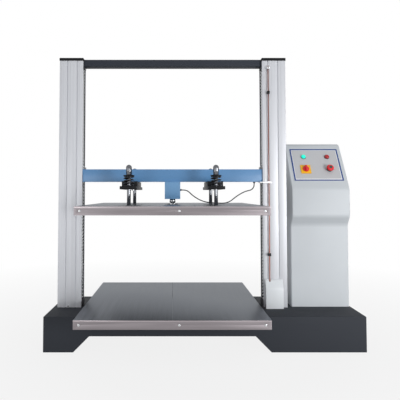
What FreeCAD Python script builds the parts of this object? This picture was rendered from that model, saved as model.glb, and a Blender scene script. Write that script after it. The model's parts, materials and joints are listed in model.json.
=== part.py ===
import FreeCAD, Part
import math
import os
import re

import Sketcher
from FreeCAD import Placement, Rotation, Vector

# Carton compression tester: a floor standing press with a raised bridge base, two aluminium
# columns with ball screws, a crosshead that hangs the upper platen on four springs, and a
# control console. Millimetres, +Z up, +Y to the back, origin on the floor under the middle
# of the base. Inside the document the pieces are drawn about the test axis (x = 0 halfway
# between the columns), and each one's Placement shifts it sideways into the machine's frame.

# Driving sizes
SIZES = {
    # Base weldment
    "base_left_reach": 717,
    "base_right_reach": 1077,
    "base_depth": 510,
    "base_height": 196,
    "arch_clearance": 88,
    "arch_half_width": 462,
    "base_wall": 6,
    "base_plate": 10,
    "belt_window_width": 150,
    "belt_window_margin": 8,
    "shaft_hole_radius": 32,
    # Columns
    "column_face": 548,
    "column_width": 143,
    "column_depth": 92,
    "column_length": 1498,
    "column_wall": 8,
    "groove_width": 5,
    "groove_depth": 5,
    "inner_groove_offset": 35,
    "outer_groove_offset": 95,
    "liner_sheet": 1.5,
    "liner_setback": 2,
    "cap_thickness": 17,
    "cap_overhang": 2,
    "cap_bevel": 2,
    # Top beam
    "top_beam_depth": 61,
    "top_beam_height": 41,
    "top_beam_wall": 4,
    "top_beam_drop": 31,
    # Screws, guide rods and their end blocks
    "screw_offset": 16,
    "screw_radius": 16,
    "journal_radius": 10,
    "rod_offset": 97,
    "guide_rod_radius": 15,
    "end_block_height": 40,
    "end_block_rise": 3,
    "end_block_length": 130,
    "bearing_outer_radius": 18,
    "bearing_width": 15,
    "running_fit": 0.05,
    "screw_end_gap": 6,
    # Belt drive in the base
    "pulley_radius": 50,
    "pulley_width": 30,
    "pulley_hub_radius": 24,
    "pulley_flange": 3,
    "pulley_flange_rise": 5,
    "screw_belt_height": 118,
    "drive_belt_height": 66,
    "belt_thickness": 5,
    "belt_width": 26,
    "belt_gap": 0.3,
    "shaft_end": 10,
    "motor_x": 850,
    "motor_y": 95,
    "motor_square": 100,
    "motor_length": 150,
    "motor_cap_length": 45,
    "reducer_radius": 52,
    "reducer_length": 80,
    "motor_shaft_radius": 12,
    # Crosshead
    "crosshead_height": 951,
    "crosshead_depth": 71,
    "crosshead_section": 76,
    "crosshead_wall": 7,
    "crosshead_end_gap": 7,
    "crosshead_block_length": 138,
    "nut_radius": 25,
    "nut_flange_radius": 36,
    "nut_flange_flat": 33,
    "nut_flange_width": 54,
    "nut_flange_thickness": 14,
    "nut_length": 66,
    "screw_clearance": 0.3,
    "bushing_radius": 22.5,
    "bushing_overhang": 5,
    # Load cell and ball joint
    "cell_housing_width": 94,
    "cell_housing_length": 105,
    "cell_housing_wall": 5,
    "cell_radius": 33,
    "cell_length": 72,
    "ball_radius": 19,
    "ball_neck_radius": 10,
    "seat_radius": 32,
    "seat_thickness": 6,
    "seat_floor": 1.5,
    "seat_clearance": 0.3,
    # Spring suspension of the upper platen
    "suspension_x": 250,
    "suspension_y": 195,
    "bracket_block_width": 90,
    "bracket_block_length": 320,
    "bracket_block_height": 30,
    "bracket_plate_width": 95,
    "bracket_plate_length": 490,
    "bracket_plate_height": 18,
    "hanger_radius": 11,
    "hanger_clearance": 0.4,
    "hanger_anchor": 20,
    "spring_radius": 27.5,
    "spring_wire_radius": 3.6,
    "spring_length": 60,
    "spring_turns": 3.5,
    "spring_runs": 12,
    "washer_radius": 32,
    "washer_thickness": 4,
    "cap_nut_hex": 30,
    "cap_nut_hex_height": 19,
    "cap_nut_radius": 17,
    "cap_nut_height": 60,
    "cap_nut_wall": 4,
    # Platens
    "platen_side": 1000,
    "platen_thickness": 45.5,
    "platen_skin": 2,
    "platen_gap": 526.5,
    "platen_rib": 40,
    "platen_border": 15,
    "platen_face_plate": 8,
    "platen_back_sheet": 3,
    "screw_head_radius": 6,
    "screw_head_height": 2.5,
    "screw_shank_radius": 3,
    "screw_shank_length": 10,
    "screw_end_distance": 30,
    "middle_screw_offset": 35,
    # Limit rod, stops, trip finger and foot cover
    "limit_rod_radius": 3,
    "limit_rod_standoff": 10,
    "limit_rod_foot": 236,
    "limit_rod_length": 1424,
    "stop_radius": 9,
    "stop_height": 16,
    "upper_stop_height": 1495,
    "lower_stop_height": 513,
    "stop_knob_radius": 4.5,
    "stop_knob_length": 9,
    "stop_bore_gap": 0.3,
    "guide_bracket_height": 1640,
    "guide_bracket_thickness": 12,
    "guide_bracket_width": 18,
    "finger_thickness": 8,
    "finger_reach": 49,
    "finger_gap": 2.5,
    "finger_depth": 14,
    "finger_leg_width": 18,
    "finger_leg_length": 54,
    "finger_hole_radius": 4,
    "cover_width": 104,
    "cover_height": 168,
    "cover_depth": 35,
    "cover_front_height": 116,
    "cover_brow": 8,
    "cover_bend": 26,
    "cover_sheet": 2,
    "cover_offset": 25,
    "switch_width": 20,
    "switch_depth": 16,
    "switch_height": 50,
    "switch_gap": 2,
    "switch_pitch": 70,
    # Console
    "console_start": 720,
    "console_width": 349,
    "console_front": 25,
    "console_back_margin": 30,
    "console_neck_drop": 507,
    "console_head_front": 65,
    "console_head_drop": 457,
    "console_panel_drop": 289,
    "console_height": 1002,
    "console_top_start": 114,
    "console_sheet": 3,
    "console_bend": 45,
    "console_edge": 7,
    "door_sheet": 2,
    "louvre_width": 180,
    "louvre_height": 8,
    "louvre_pitch": 24,
    "louvre_count": 6,
    "louvre_start": 120,
    "panel_width": 302,
    "panel_height": 242,
    "panel_rise": 55,
    "panel_sheet": 2,
    "panel_corner": 4,
    "control_shift": 3,
    "control_spread": 73.5,
    "lamp_rise": 234,
    "switch_rise": 139,
    "lamp_bezel_radius": 16,
    "lamp_bezel_height": 4,
    "lamp_lens_radius": 14,
    "lamp_lens_height": 15,
    "lamp_dome_rise": 8,
    "isolator_plate_side": 62,
    "isolator_plate_thickness": 5,
    "isolator_disc_radius": 20,
    "isolator_disc_height": 8,
    "isolator_grip_width": 13,
    "isolator_grip_length": 42,
    "isolator_grip_height": 20,
    "isolator_gap": 0.4,
    "stop_collar_radius": 17,
    "stop_collar_height": 9,
    "stop_head_radius": 22,
    "stop_head_height": 15,
    "stop_dome_rise": 7,
    "stop_travel": 6,
    "stop_stem_radius": 12,
    "stop_stem_gap": 0.4,
    "drive_unit_width": 60,
    "drive_unit_depth": 150,
    "drive_unit_height": 190,
    "drive_unit_rise": 160,
    # Load cell cable
    "cable_radius": 3.2,
    "gland_radius": 7,
    "gland_length": 8,
}

doc = FreeCAD.newDocument("carton_compression_tester")
sheet = doc.addObject("Spreadsheet::Sheet", "sizes")
for row, (name, amount) in enumerate(SIZES.items(), start=1):
    sheet.set("A%d" % row, name)
    sheet.set("B%d" % row, str(amount))
    sheet.setAlias("B%d" % row, name)
doc.recompute()

# Derived places, written as formulas of the sheet's sizes
TERMS = {
    "AXIS": "(base_left_reach - base_right_reach) / 2",
    "OUTER_FACE": "(column_face + column_width)",
    "COLUMN_TOP": "(base_height + column_length)",
    "CAVITY": "(column_depth / 2 - column_wall)",
    "LINED": "(column_depth / 2 - column_wall - liner_sheet)",
    "SCREW_X": "(column_face + screw_offset)",
    "ROD_X": "(column_face + rod_offset)",
    "BLOCK_START": "(column_face - end_block_rise)",
    "UPPER_BLOCK": "(base_height + column_length - end_block_height - 2)",
    "PLATE_BOTTOM": "(base_height - base_plate)",
    "TOP_BEAM_LOW": "(base_height + column_length - top_beam_drop)",
    "CROSSHEAD_TOP": "(crosshead_height + crosshead_section)",
    "CROSSHEAD_END": "(column_face + column_width - column_wall - crosshead_end_gap)",
    "TABLE": "(base_height + platen_thickness)",
    "UPPER_FACE": "(base_height + platen_thickness + platen_gap)",
    "UPPER_BACK": "(base_height + 2 * platen_thickness + platen_gap)",
    "BLOCK_LOW": "(crosshead_height - bracket_block_height)",
    "PLATE_LOW": "(crosshead_height - bracket_block_height - bracket_plate_height)",
    "WASHER_LOW": "(crosshead_height - bracket_block_height + spring_length)",
    "NUT_LOW": "(crosshead_height - bracket_block_height + spring_length + washer_thickness)",
    "BALL_LOW": "(base_height + 2 * platen_thickness + platen_gap + seat_floor)",
    "LIMIT_X": "(column_face + inner_groove_offset)",
    "LIMIT_Y": "(column_depth / 2 + limit_rod_standoff)",
    "CONSOLE_MID": "(console_start + console_width / 2)",
    "CONSOLE_BACK": "(base_depth / 2 - console_back_margin)",
    "CONSOLE_TOP": "(base_height + console_height)",
}
WORD = re.compile(r"[A-Za-z_]+")


def formula(text):
    """Write a formula's derived terms out and point its size names at the sheet."""
    text = WORD.sub(lambda found: TERMS.get(found.group(), found.group()), str(text))
    return WORD.sub(lambda found: "sizes." + found.group() if found.group() in SIZES
                    else found.group(), text)


def number(text):
    """The present value of a formula, read through a spare sheet cell."""
    sheet.set("D1", "=" + formula(text).replace("sizes.", ""))
    sheet.recompute()
    return float(sheet.get("D1"))


def bind(item, **formulas):
    for name, text in formulas.items():
        item.setExpression(name, formula(text))
    return item


def put(item, x=0, y=0, z=0):
    for axis, text in (("x", x), ("y", y), ("z", z)):
        item.setExpression("Placement.Base." + axis, formula(text))
    return item


def box(x, y, z):
    """A block between three pairs of formulas."""
    item = doc.addObject("Part::Box", "block")
    bind(item, Length="(%s) - (%s)" % (x[1], x[0]), Width="(%s) - (%s)" % (y[1], y[0]),
         Height="(%s) - (%s)" % (z[1], z[0]))
    return put(item, x[0], y[0], z[0])


def rod(x, y, z, radius):
    """An upright cylinder between two heights."""
    item = doc.addObject("Part::Cylinder", "rod")
    bind(item, Radius=radius, Height="(%s) - (%s)" % (z[1], z[0]))
    return put(item, x, y, z[0])


def lying_rod(x, y, z, radius):
    """A cylinder along Y between two depths."""
    item = doc.addObject("Part::Cylinder", "pin")
    item.Placement = Placement(Vector(), Rotation(Vector(1, 0, 0), -90))
    bind(item, Radius=radius, Height="(%s) - (%s)" % (y[1], y[0]))
    return put(item, x, y[0], z)


def domed_rod(x, y, z, radius, rise):
    """A lying rod whose front end is a spherical cap that bulges by the rise."""
    reach = "((%s) ^ 2 + (%s) ^ 2) / (2 * (%s))" % (radius, rise, rise)
    ball = doc.addObject("Part::Sphere", "cap")
    ball.Placement = Placement(Vector(), Rotation(Vector(1, 0, 0), -90))
    bind(ball, Radius=reach)
    put(ball, x, "%s + %s" % (y[0], reach), z)
    result = doc.addObject("Part::Common", "domed_rod")
    result.Base = lying_rod(x, y, z, radius)
    result.Tool = ball
    return result


def cross_rod(x, y, z, radius):
    """A cylinder along X between two places."""
    item = doc.addObject("Part::Cylinder", "pin")
    item.Placement = Placement(Vector(), Rotation(Vector(0, 1, 0), 90))
    bind(item, Radius=radius, Height="(%s) - (%s)" % (x[1], x[0]))
    return put(item, x[0], y, z)


def fuse(*items):
    joined = doc.addObject("Part::MultiFuse", "joined")
    joined.Shapes = list(items)
    return joined


def cut(body, *tools):
    result = doc.addObject("Part::Cut", "cut")
    result.Base = body
    result.Tool = tools[0] if len(tools) == 1 else fuse(*tools)
    return result


def group(*items):
    """Separate solids that share one node."""
    result = doc.addObject("Part::Compound", "group")
    result.Links = list(items)
    return result


def sided(side, low, high):
    """The span low..high on the right, or its mirror image on the left."""
    return (low, high) if side > 0 else ("-(%s)" % high, "-(%s)" % low)


def origin_plane(body, role):
    return [item for item in body.Origin.OriginFeatures if item.Role == role][0]


def new_body(name):
    return doc.addObject("PartDesign::Body", name)


def new_sketch(body, role, lift=None):
    sketch = body.newObject("Sketcher::SketchObject", body.Name + "_sketch")
    sketch.AttachmentSupport = [(origin_plane(body, role), "")]
    sketch.MapMode = "FlatFace"
    if lift is not None:
        sketch.setExpression("AttachmentOffset.Base.z", formula(lift))
    return sketch


def fix_point(sketch, geometry, place, x, y):
    """Hold one point of a sketch at two formulas, measured from the origin."""
    point = sketch.getPoint(geometry, place)
    for kind, text, now in (("DistanceX", x, point.x), ("DistanceY", y, point.y)):
        index = sketch.addConstraint(Sketcher.Constraint(kind, -1, 1, geometry, place, now))
        sketch.setExpression("Constraints[%d]" % index, formula(text))


def polygon(sketch, points):
    """A closed outline whose corners are pairs of formulas."""
    first = sketch.GeometryCount
    count = len(points)
    rough = [Vector(100 * math.cos(2 * math.pi * step / count),
                    100 * math.sin(2 * math.pi * step / count), 0) for step in range(count)]
    for step in range(count):
        sketch.addGeometry(Part.LineSegment(rough[step], rough[(step + 1) % count]))
    for step in range(count):
        following = first + (step + 1) % count
        sketch.addConstraint(Sketcher.Constraint("Coincident", first + step, 2, following, 1))
    for step, (x, y) in enumerate(points):
        fix_point(sketch, first + step, 1, x, y)


def rectangle(sketch, x, y):
    polygon(sketch, [(x[0], y[0]), (x[1], y[0]), (x[1], y[1]), (x[0], y[1])])


def circle(sketch, x, y, radius):
    ring = sketch.addGeometry(Part.Circle(Vector(10, 10, 0), Vector(0, 0, 1), 5))
    fix_point(sketch, ring, 3, x, y)
    index = sketch.addConstraint(Sketcher.Constraint("Radius", ring, 5))
    sketch.setExpression("Constraints[%d]" % index, formula(radius))


def pad(body, sketch, length, middle=False, back=False):
    item = body.newObject("PartDesign::Pad", body.Name + "_pad")
    item.Profile = sketch
    item.Midplane = middle
    item.Reversed = back
    item.setExpression("Length", formula(length))
    return item


def pocket(body, sketch, length, middle=False, back=False):
    """Cut a sketch into the body, and stop if it removes nothing."""
    doc.recompute()
    before = body.Shape.Volume
    item = body.newObject("PartDesign::Pocket", body.Name + "_pocket")
    item.Profile = sketch
    item.Midplane = middle
    item.Reversed = back
    item.setExpression("Length", formula(length))
    doc.recompute()
    if body.Shape.Volume > before - 1:
        raise RuntimeError(body.Name + ": a pocket cuts nothing")
    return item


def revolve(body, sketch, axis="V_Axis"):
    item = body.newObject("PartDesign::Revolution", body.Name + "_turned")
    item.Profile = sketch
    item.ReferenceAxis = (sketch, [axis])
    item.Angle = 360
    return item


def edges_at(shape, test):
    """Names of the straight edges whose middle and direction pass a test."""
    names = []
    for index, edge in enumerate(shape.Edges, start=1):
        ends = [vertex.Point for vertex in edge.Vertexes]
        if len(ends) == 2 and test((ends[0] + ends[1]) / 2, (ends[1] - ends[0]).normalize()):
            names.append("Edge%d" % index)
    return names


def soften(body, kind, names, size):
    """Add a Fillet or Chamfer on named edges of the body's tip."""
    base = body.Tip
    item = body.newObject("PartDesign::" + kind, body.Name + "_" + kind.lower())
    item.Base = (base, names)
    item.setExpression("Radius" if kind == "Fillet" else "Size", formula(size))
    body.Tip = item
    return item


def shell_out(body, sheet_size, opened):
    """Hollow the body to a sheet's thickness, leaving the faces that pass the test open."""
    doc.recompute()
    faces = ["Face%d" % index for index, face in enumerate(body.Shape.Faces, start=1)
             if opened(face.CenterOfMass)]
    base = body.Tip
    item = body.newObject("PartDesign::Thickness", body.Name + "_shell")
    item.Base = (base, faces)
    item.Reversed = True
    bind(item, Value=sheet_size)
    body.Tip = item


NODES = []


def node(name, item):
    """Name a finished sub-part and shift it from the test axis into the machine's frame."""
    item.Label = name
    shift = formula("AXIS")
    for path, text in item.ExpressionEngine:
        if path.endswith("Placement.Base.x"):
            shift = "%s + %s" % (text, shift)
    item.setExpression("Placement.Base.x", shift)
    NODES.append(item)


# Base: two box pedestals, the bridge between them and the plate that carries the columns
def pedestal(name, side, reach):
    """A pedestal shell, open on top, with a sloping inner foot and a window for the belt."""
    body = new_body(name)
    flip = "%d * " % side
    slope = "(sqrt(2) - 1) * base_wall"
    outline = new_sketch(body, "XZ_Plane")
    polygon(outline, [(flip + "%s" % reach, "0"), (flip + "(arch_half_width + arch_clearance)", "0"),
                      (flip + "arch_half_width", "arch_clearance"),
                      (flip + "arch_half_width", "PLATE_BOTTOM"), (flip + reach, "PLATE_BOTTOM")])
    pad(body, outline, "base_depth", middle=True)
    cavity = new_sketch(body, "XZ_Plane")
    polygon(cavity, [(flip + "(%s - base_wall)" % reach, "base_wall"),
                     (flip + "(arch_half_width + arch_clearance + %s)" % slope, "base_wall"),
                     (flip + "(arch_half_width + base_wall)", "arch_clearance + " + slope),
                     (flip + "(arch_half_width + base_wall)", "base_height"),
                     (flip + "(%s - base_wall)" % reach, "base_height")])
    pocket(body, cavity, "base_depth - 2 * base_wall", middle=True)
    window = new_sketch(body, "YZ_Plane", flip + "arch_half_width")
    rectangle(window, ("-belt_window_width / 2", "belt_window_width / 2"),
              ("arch_clearance + base_wall + belt_window_margin", "PLATE_BOTTOM - belt_window_margin"))
    pocket(body, window, "2 * base_wall + 2", middle=True)
    node(name, body)


def build_base():
    pedestal("left_pedestal", -1, "base_left_reach")
    pedestal("right_pedestal", 1, "base_right_reach")
    half = "arch_half_width"
    deep = ("-base_depth / 2", "base_depth / 2")
    channel = box(("-" + half, half), deep, ("arch_clearance", "PLATE_BOTTOM"))
    hollow = box(("-%s - 1" % half, half + " + 1"),
                 ("base_wall - base_depth / 2", "base_depth / 2 - base_wall"),
                 ("arch_clearance + base_wall", "base_height"))
    node("bridge_beam", cut(channel, hollow))
    plate = box(("-base_left_reach", "base_right_reach"), deep, ("PLATE_BOTTOM", "base_height"))
    holes = [rod(side + "SCREW_X", "0", ("PLATE_BOTTOM - 1", "base_height + 1"), "shaft_hole_radius")
             for side in ("", "-")]
    holes.append(rod("motor_x", "motor_y", ("PLATE_BOTTOM - 1", "base_height + 1"),
                     "motor_shaft_radius + 4"))
    node("base_top_plate", cut(plate, *holes))


# Columns: channel extrusions open towards the test space, lined with black sheet
def column(name, side):
    body = new_body(name)
    flip = "%d * " % side
    half = "column_depth / 2"
    section = new_sketch(body, "XY_Plane", "base_height")
    polygon(section, [(flip + "column_face", "-" + half), (flip + "OUTER_FACE", "-" + half),
                      (flip + "OUTER_FACE", half), (flip + "column_face", half),
                      (flip + "column_face", "CAVITY"), (flip + "(OUTER_FACE - column_wall)", "CAVITY"),
                      (flip + "(OUTER_FACE - column_wall)", "-CAVITY"),
                      (flip + "column_face", "-CAVITY")])
    pad(body, section, "column_length")
    grooves = new_sketch(body, "XY_Plane", "base_height - 1")
    for offset in ("inner_groove_offset", "outer_groove_offset"):
        span = (flip + "(column_face + %s) - groove_width / 2" % offset,
                flip + "(column_face + %s) + groove_width / 2" % offset)
        rectangle(grooves, span, ("-%s - 1" % half, "groove_depth - " + half))
        rectangle(grooves, span, (half + " - groove_depth", half + " + 1"))
    pocket(body, grooves, "column_length + 2", back=True)
    node(name, body)


def column_liner(side):
    """A folded sheet channel against the column's three inner walls."""
    inner = "(column_face + liner_setback)"
    outer = "(OUTER_FACE - column_wall)"
    tall = ("base_height", "COLUMN_TOP")
    sheet_block = box(sided(side, inner, outer), ("-CAVITY", "CAVITY"), tall)
    room = box(sided(side, inner + " - 1", outer + " - liner_sheet"), ("-LINED", "LINED"),
               ("base_height - 1", "COLUMN_TOP + 1"))
    return cut(sheet_block, room)


def column_cap(side):
    """A plain cap plate with a bevelled top edge."""
    body = new_body("cap")
    section = new_sketch(body, "XY_Plane", "COLUMN_TOP")
    low, high = sided(side, "column_face - cap_overhang", "OUTER_FACE + cap_overhang")
    rectangle(section, (low, high), ("-column_depth / 2 - cap_overhang", "column_depth / 2 + cap_overhang"))
    pad(body, section, "cap_thickness")
    doc.recompute()
    top = number("COLUMN_TOP + cap_thickness")
    soften(body, "Chamfer", edges_at(body.Shape, lambda middle, way: abs(middle.z - top) < 0.01),
           "cap_bevel")
    return body


def build_columns():
    column("left_column", -1)
    column("right_column", 1)
    node("column_liners", group(column_liner(-1), column_liner(1)))
    node("column_caps", group(column_cap(-1), column_cap(1)))
    deep = ("-top_beam_depth / 2", "top_beam_depth / 2")
    tall = ("TOP_BEAM_LOW", "TOP_BEAM_LOW + top_beam_height")
    node("top_beam", cut(box(("-BLOCK_START", "BLOCK_START"), deep, tall),
                         box(("-BLOCK_START - 1", "BLOCK_START + 1"),
                             (deep[0] + " + top_beam_wall", deep[1] + " - top_beam_wall"),
                             (tall[0] + " + top_beam_wall", tall[1] + " - top_beam_wall"))))


# Guide rods, ball screws, bearings and end blocks inside the columns
def end_block(side, low, bearing_low):
    """A block across the column's inside, bored for the screw's bearing and the guide rod."""
    block = box(sided(side, "BLOCK_START", "BLOCK_START + end_block_length"), ("-LINED", "LINED"),
                (low, "%s + end_block_height" % low))
    screw_x = "%d * SCREW_X" % side
    through = (low + " - 1", "%s + end_block_height + 1" % low)
    return cut(block, rod("%d * ROD_X" % side, "0", through, "guide_rod_radius"),
               rod(screw_x, "0", through, "journal_radius + 3"),
               rod(screw_x, "0", (bearing_low, bearing_low + " + bearing_width"),
                   "bearing_outer_radius"))


def bearing(side, low):
    """A ring bearing whose bore leaves the journal its running fit."""
    high = low + " + bearing_width"
    return cut(rod("%d * SCREW_X" % side, "0", (low, high), "bearing_outer_radius"),
               rod("%d * SCREW_X" % side, "0", (low + " - 1", high + " + 1"),
                   "journal_radius + running_fit"))


def ball_screw(name, side, foot):
    """The screw's threaded shank between its two turned journals."""
    body = new_body(name)
    half = new_sketch(body, "XZ_Plane")
    low = "(base_height + end_block_height + screw_end_gap)"
    high = "(UPPER_BLOCK - screw_end_gap)"
    polygon(half, [("0", foot), ("journal_radius", foot), ("journal_radius", low),
                   ("screw_radius", low), ("screw_radius", high), ("journal_radius", high),
                   ("journal_radius", "UPPER_BLOCK + end_block_height - 2"),
                   ("0", "UPPER_BLOCK + end_block_height - 2")])
    revolve(body, half)
    put(body, "%d * SCREW_X" % side)
    node(name, body)


def build_guides():
    lower = "base_height"
    lower_bearing = "(base_height + end_block_height - bearing_width)"
    both = (-1, 1)
    node("guide_rods", group(*[rod("%d * ROD_X" % side, "0",
                                   (lower, "UPPER_BLOCK + end_block_height"), "guide_rod_radius")
                               for side in both]))
    node("bearing_blocks", group(*[end_block(side, low, bearing_low) for side in both
                                   for low, bearing_low in ((lower, lower_bearing),
                                                            ("UPPER_BLOCK", "UPPER_BLOCK"))]))
    node("screw_bearings", group(*[bearing(side, low) for side in both
                                   for low in (lower_bearing, "UPPER_BLOCK")]))
    ball_screw("left_ball_screw", -1, "(screw_belt_height - shaft_end)")
    ball_screw("right_ball_screw", 1, "(drive_belt_height - shaft_end)")


# Belt drive: equal toothed pulleys on the motor and both screws
def pulley(x, y, low, bore):
    """A flanged pulley with a hub, standing on its lower flange."""
    high = "(%s + pulley_width)" % low
    rim = rod(x, y, (low, high), "pulley_radius")
    flanges = [rod(x, y, (start, start + " + pulley_flange"), "pulley_radius + pulley_flange_rise")
               for start in ("(%s - pulley_flange)" % low, high)]
    return cut(fuse(rim, *flanges),
               rod(x, y, (low + " - pulley_flange - 1", high + " + pulley_flange + 1"), bore))


def belt(x, y, length, low, angle=None):
    """A closed belt round two equal pulleys, the first one at x, y."""
    inner, outer = "(pulley_radius + belt_gap)", "(pulley_radius + belt_gap + belt_thickness)"
    high = low + " + belt_width"
    rings = [fuse(box(("0", length), ("-" + radius, radius), span), rod("0", "0", span, radius),
                  rod(length, "0", span, radius))
             for radius, span in ((outer, (low, high)), (inner, (low + " - 1", high + " + 1")))]
    loop = cut(*rings)
    if angle is not None:
        loop.Placement = Placement(Vector(), Rotation(Vector(0, 0, 1), 0))
        loop.setExpression("Placement.Rotation.Angle", formula(angle))
    return put(loop, x, y)


def build_drive():
    margin = "(pulley_width - belt_width) / 2"
    node("left_screw_pulley", pulley("-SCREW_X", "0", "screw_belt_height", "journal_radius"))
    node("right_screw_pulley", group(pulley("SCREW_X", "0", "screw_belt_height", "journal_radius"),
                                     pulley("SCREW_X", "0", "drive_belt_height", "journal_radius")))
    node("drive_pulley", pulley("motor_x", "motor_y", "drive_belt_height", "motor_shaft_radius"))
    node("screw_belt", belt("-SCREW_X", "0", "2 * SCREW_X", "(screw_belt_height + %s)" % margin))
    run = "(motor_x - SCREW_X)"
    node("drive_belt", belt("SCREW_X", "0", "sqrt(%s ^ 2 + motor_y ^ 2)" % run,
                            "(drive_belt_height + %s)" % margin, "atan(motor_y / %s)" % run))
    reducer = rod("motor_x", "motor_y", ("base_height", "base_height + reducer_length"),
                  "reducer_radius")
    reducer = cut(reducer, rod("motor_x", "motor_y", ("base_height - 1",
                                                      "base_height + reducer_length / 2"),
                               "motor_shaft_radius + running_fit"))
    node("motor_shaft", rod("motor_x", "motor_y", ("drive_belt_height - shaft_end",
                                                   "base_height + reducer_length / 2 - 1"),
                            "motor_shaft_radius"))
    low = "(base_height + reducer_length)"
    square = [("motor_x - motor_square / 2", "motor_x + motor_square / 2"),
              ("motor_y - motor_square / 2", "motor_y + motor_square / 2"),
              (low, low + " + motor_length")]
    cap = rod("motor_x", "motor_y", (low + " + motor_length",
                                     low + " + motor_length + motor_cap_length"),
              "motor_square / 2 - 6")
    node("servo_motor", group(reducer, fuse(box(*square), cap)))


# Crosshead: a square tube that reaches into both columns, with the nuts and bushings in its ends
def build_crosshead():
    deep = ("-crosshead_depth / 2", "crosshead_depth / 2")
    tall = ("crosshead_height", "CROSSHEAD_TOP")
    inner_deep = (deep[0] + " + crosshead_wall", deep[1] + " - crosshead_wall")
    inner_tall = (tall[0] + " + crosshead_wall", tall[1] + " - crosshead_wall")
    through = ("crosshead_height - 1", "CROSSHEAD_TOP + 1")
    bores = []
    blocks = []
    nuts = []
    bushings = []
    for side in (-1, 1):
        screw_x, rod_x = "%d * SCREW_X" % side, "%d * ROD_X" % side
        bores += [rod(screw_x, "0", through, "nut_radius"), rod(rod_x, "0", through, "bushing_radius")]
        block = box(sided(side, "CROSSHEAD_END - crosshead_block_length", "CROSSHEAD_END"),
                    inner_deep, inner_tall)
        blocks.append(cut(block, rod(screw_x, "0", through, "nut_radius"),
                          rod(rod_x, "0", through, "bushing_radius")))
        nuts.append(ball_nut(side))
        span = ("crosshead_height - bushing_overhang", "CROSSHEAD_TOP + bushing_overhang")
        bushings.append(cut(rod(rod_x, "0", span, "bushing_radius"),
                            rod(rod_x, "0", (span[0] + " - 1", span[1] + " + 1"),
                                "guide_rod_radius + running_fit")))
    tube = cut(box(("-CROSSHEAD_END", "CROSSHEAD_END"), deep, tall),
               box(("-CROSSHEAD_END - 1", "CROSSHEAD_END + 1"), inner_deep, inner_tall), *bores)
    node("crosshead_beam", tube)
    node("crosshead_blocks", group(*blocks))
    node("ball_nuts", group(*nuts))
    node("guide_bushings", group(*bushings))


def ball_nut(side):
    """A flanged nut; the flange lies on the tube and has flats to clear the column."""
    x = "%d * SCREW_X" % side
    flange_span = ("CROSSHEAD_TOP", "CROSSHEAD_TOP + nut_flange_thickness")
    flange = doc.addObject("Part::Common", "flange")
    flange.Base = rod(x, "0", flange_span, "nut_flange_radius")
    flange.Tool = box((x + " - nut_flange_width / 2", x + " + nut_flange_width / 2"),
                      ("-nut_flange_flat", "nut_flange_flat"), flange_span)
    barrel = rod(x, "0", ("CROSSHEAD_TOP - nut_length", "CROSSHEAD_TOP"), "nut_radius")
    return cut(fuse(barrel, flange), rod(x, "0", ("CROSSHEAD_TOP - nut_length - 1",
                                                  flange_span[1] + " + 1"),
                                         "screw_radius + screw_clearance"))


# Load cell in its square housing, and the ball that presses on the platen's seat
def build_load_cell():
    half = "cell_housing_width / 2"
    low = "(crosshead_height - cell_housing_length)"
    housing = box(("-" + half, half), ("-" + half, half), (low, "crosshead_height"))
    wall = "cell_housing_wall"
    room = box(("%s - %s" % (wall, half), "%s - %s" % (half, wall)),
               ("%s - %s" % (wall, half), "%s - %s" % (half, wall)),
               (low + " - 1", "crosshead_height - " + wall))
    cell_top = "(crosshead_height - cell_housing_wall)"
    cell_low = "(crosshead_height - cell_housing_wall - cell_length)"
    node("load_cell_housing", cut(housing, room))
    node("load_cell", rod("0", "0", (cell_low, cell_top), "cell_radius"))
    ball = doc.addObject("Part::Sphere", "ball")
    bind(ball, Radius="ball_radius")
    put(ball, "0", "0", "BALL_LOW + ball_radius")
    neck = rod("0", "0", ("BALL_LOW + ball_radius", cell_low), "ball_neck_radius")
    node("pressure_ball", fuse(ball, neck))
    dish = doc.addObject("Part::Sphere", "dish")
    bind(dish, Radius="ball_radius + seat_clearance")
    put(dish, "0", "0", "BALL_LOW + ball_radius")
    node("ball_seat", cut(rod("0", "0", ("UPPER_BACK", "UPPER_BACK + seat_thickness"),
                              "seat_radius"), dish))


# Spring suspension: bracket under the crosshead, four hangers with springs and cap nuts
CORNERS = [(x, y) for x in ("-suspension_x", "suspension_x")
           for y in ("-suspension_y", "suspension_y")]


def coil_spring(x, y):
    """A round wire coil on the bracket plate, swept along short straight runs."""
    wire = number("spring_wire_radius")
    rise = number("spring_length - 2 * spring_wire_radius")
    middle = number("spring_radius")
    count = round(number("spring_turns * spring_runs"))
    step = 2 * math.pi / number("spring_runs")
    points = [Vector(middle * math.cos(index * step), middle * math.sin(index * step),
                     rise * index / count) for index in range(count + 1)]
    path = Part.makePolygon(points)
    ring = Part.Wire(Part.Circle(points[0], points[1] - points[0], wire).toShape())
    item = doc.addObject("Part::Feature", "coil")
    item.Shape = path.makePipeShell([ring], True, False, 1)
    item.Placement = Placement(Vector(number(x), number(y), number("BLOCK_LOW") + wire), Rotation())
    return item


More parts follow.
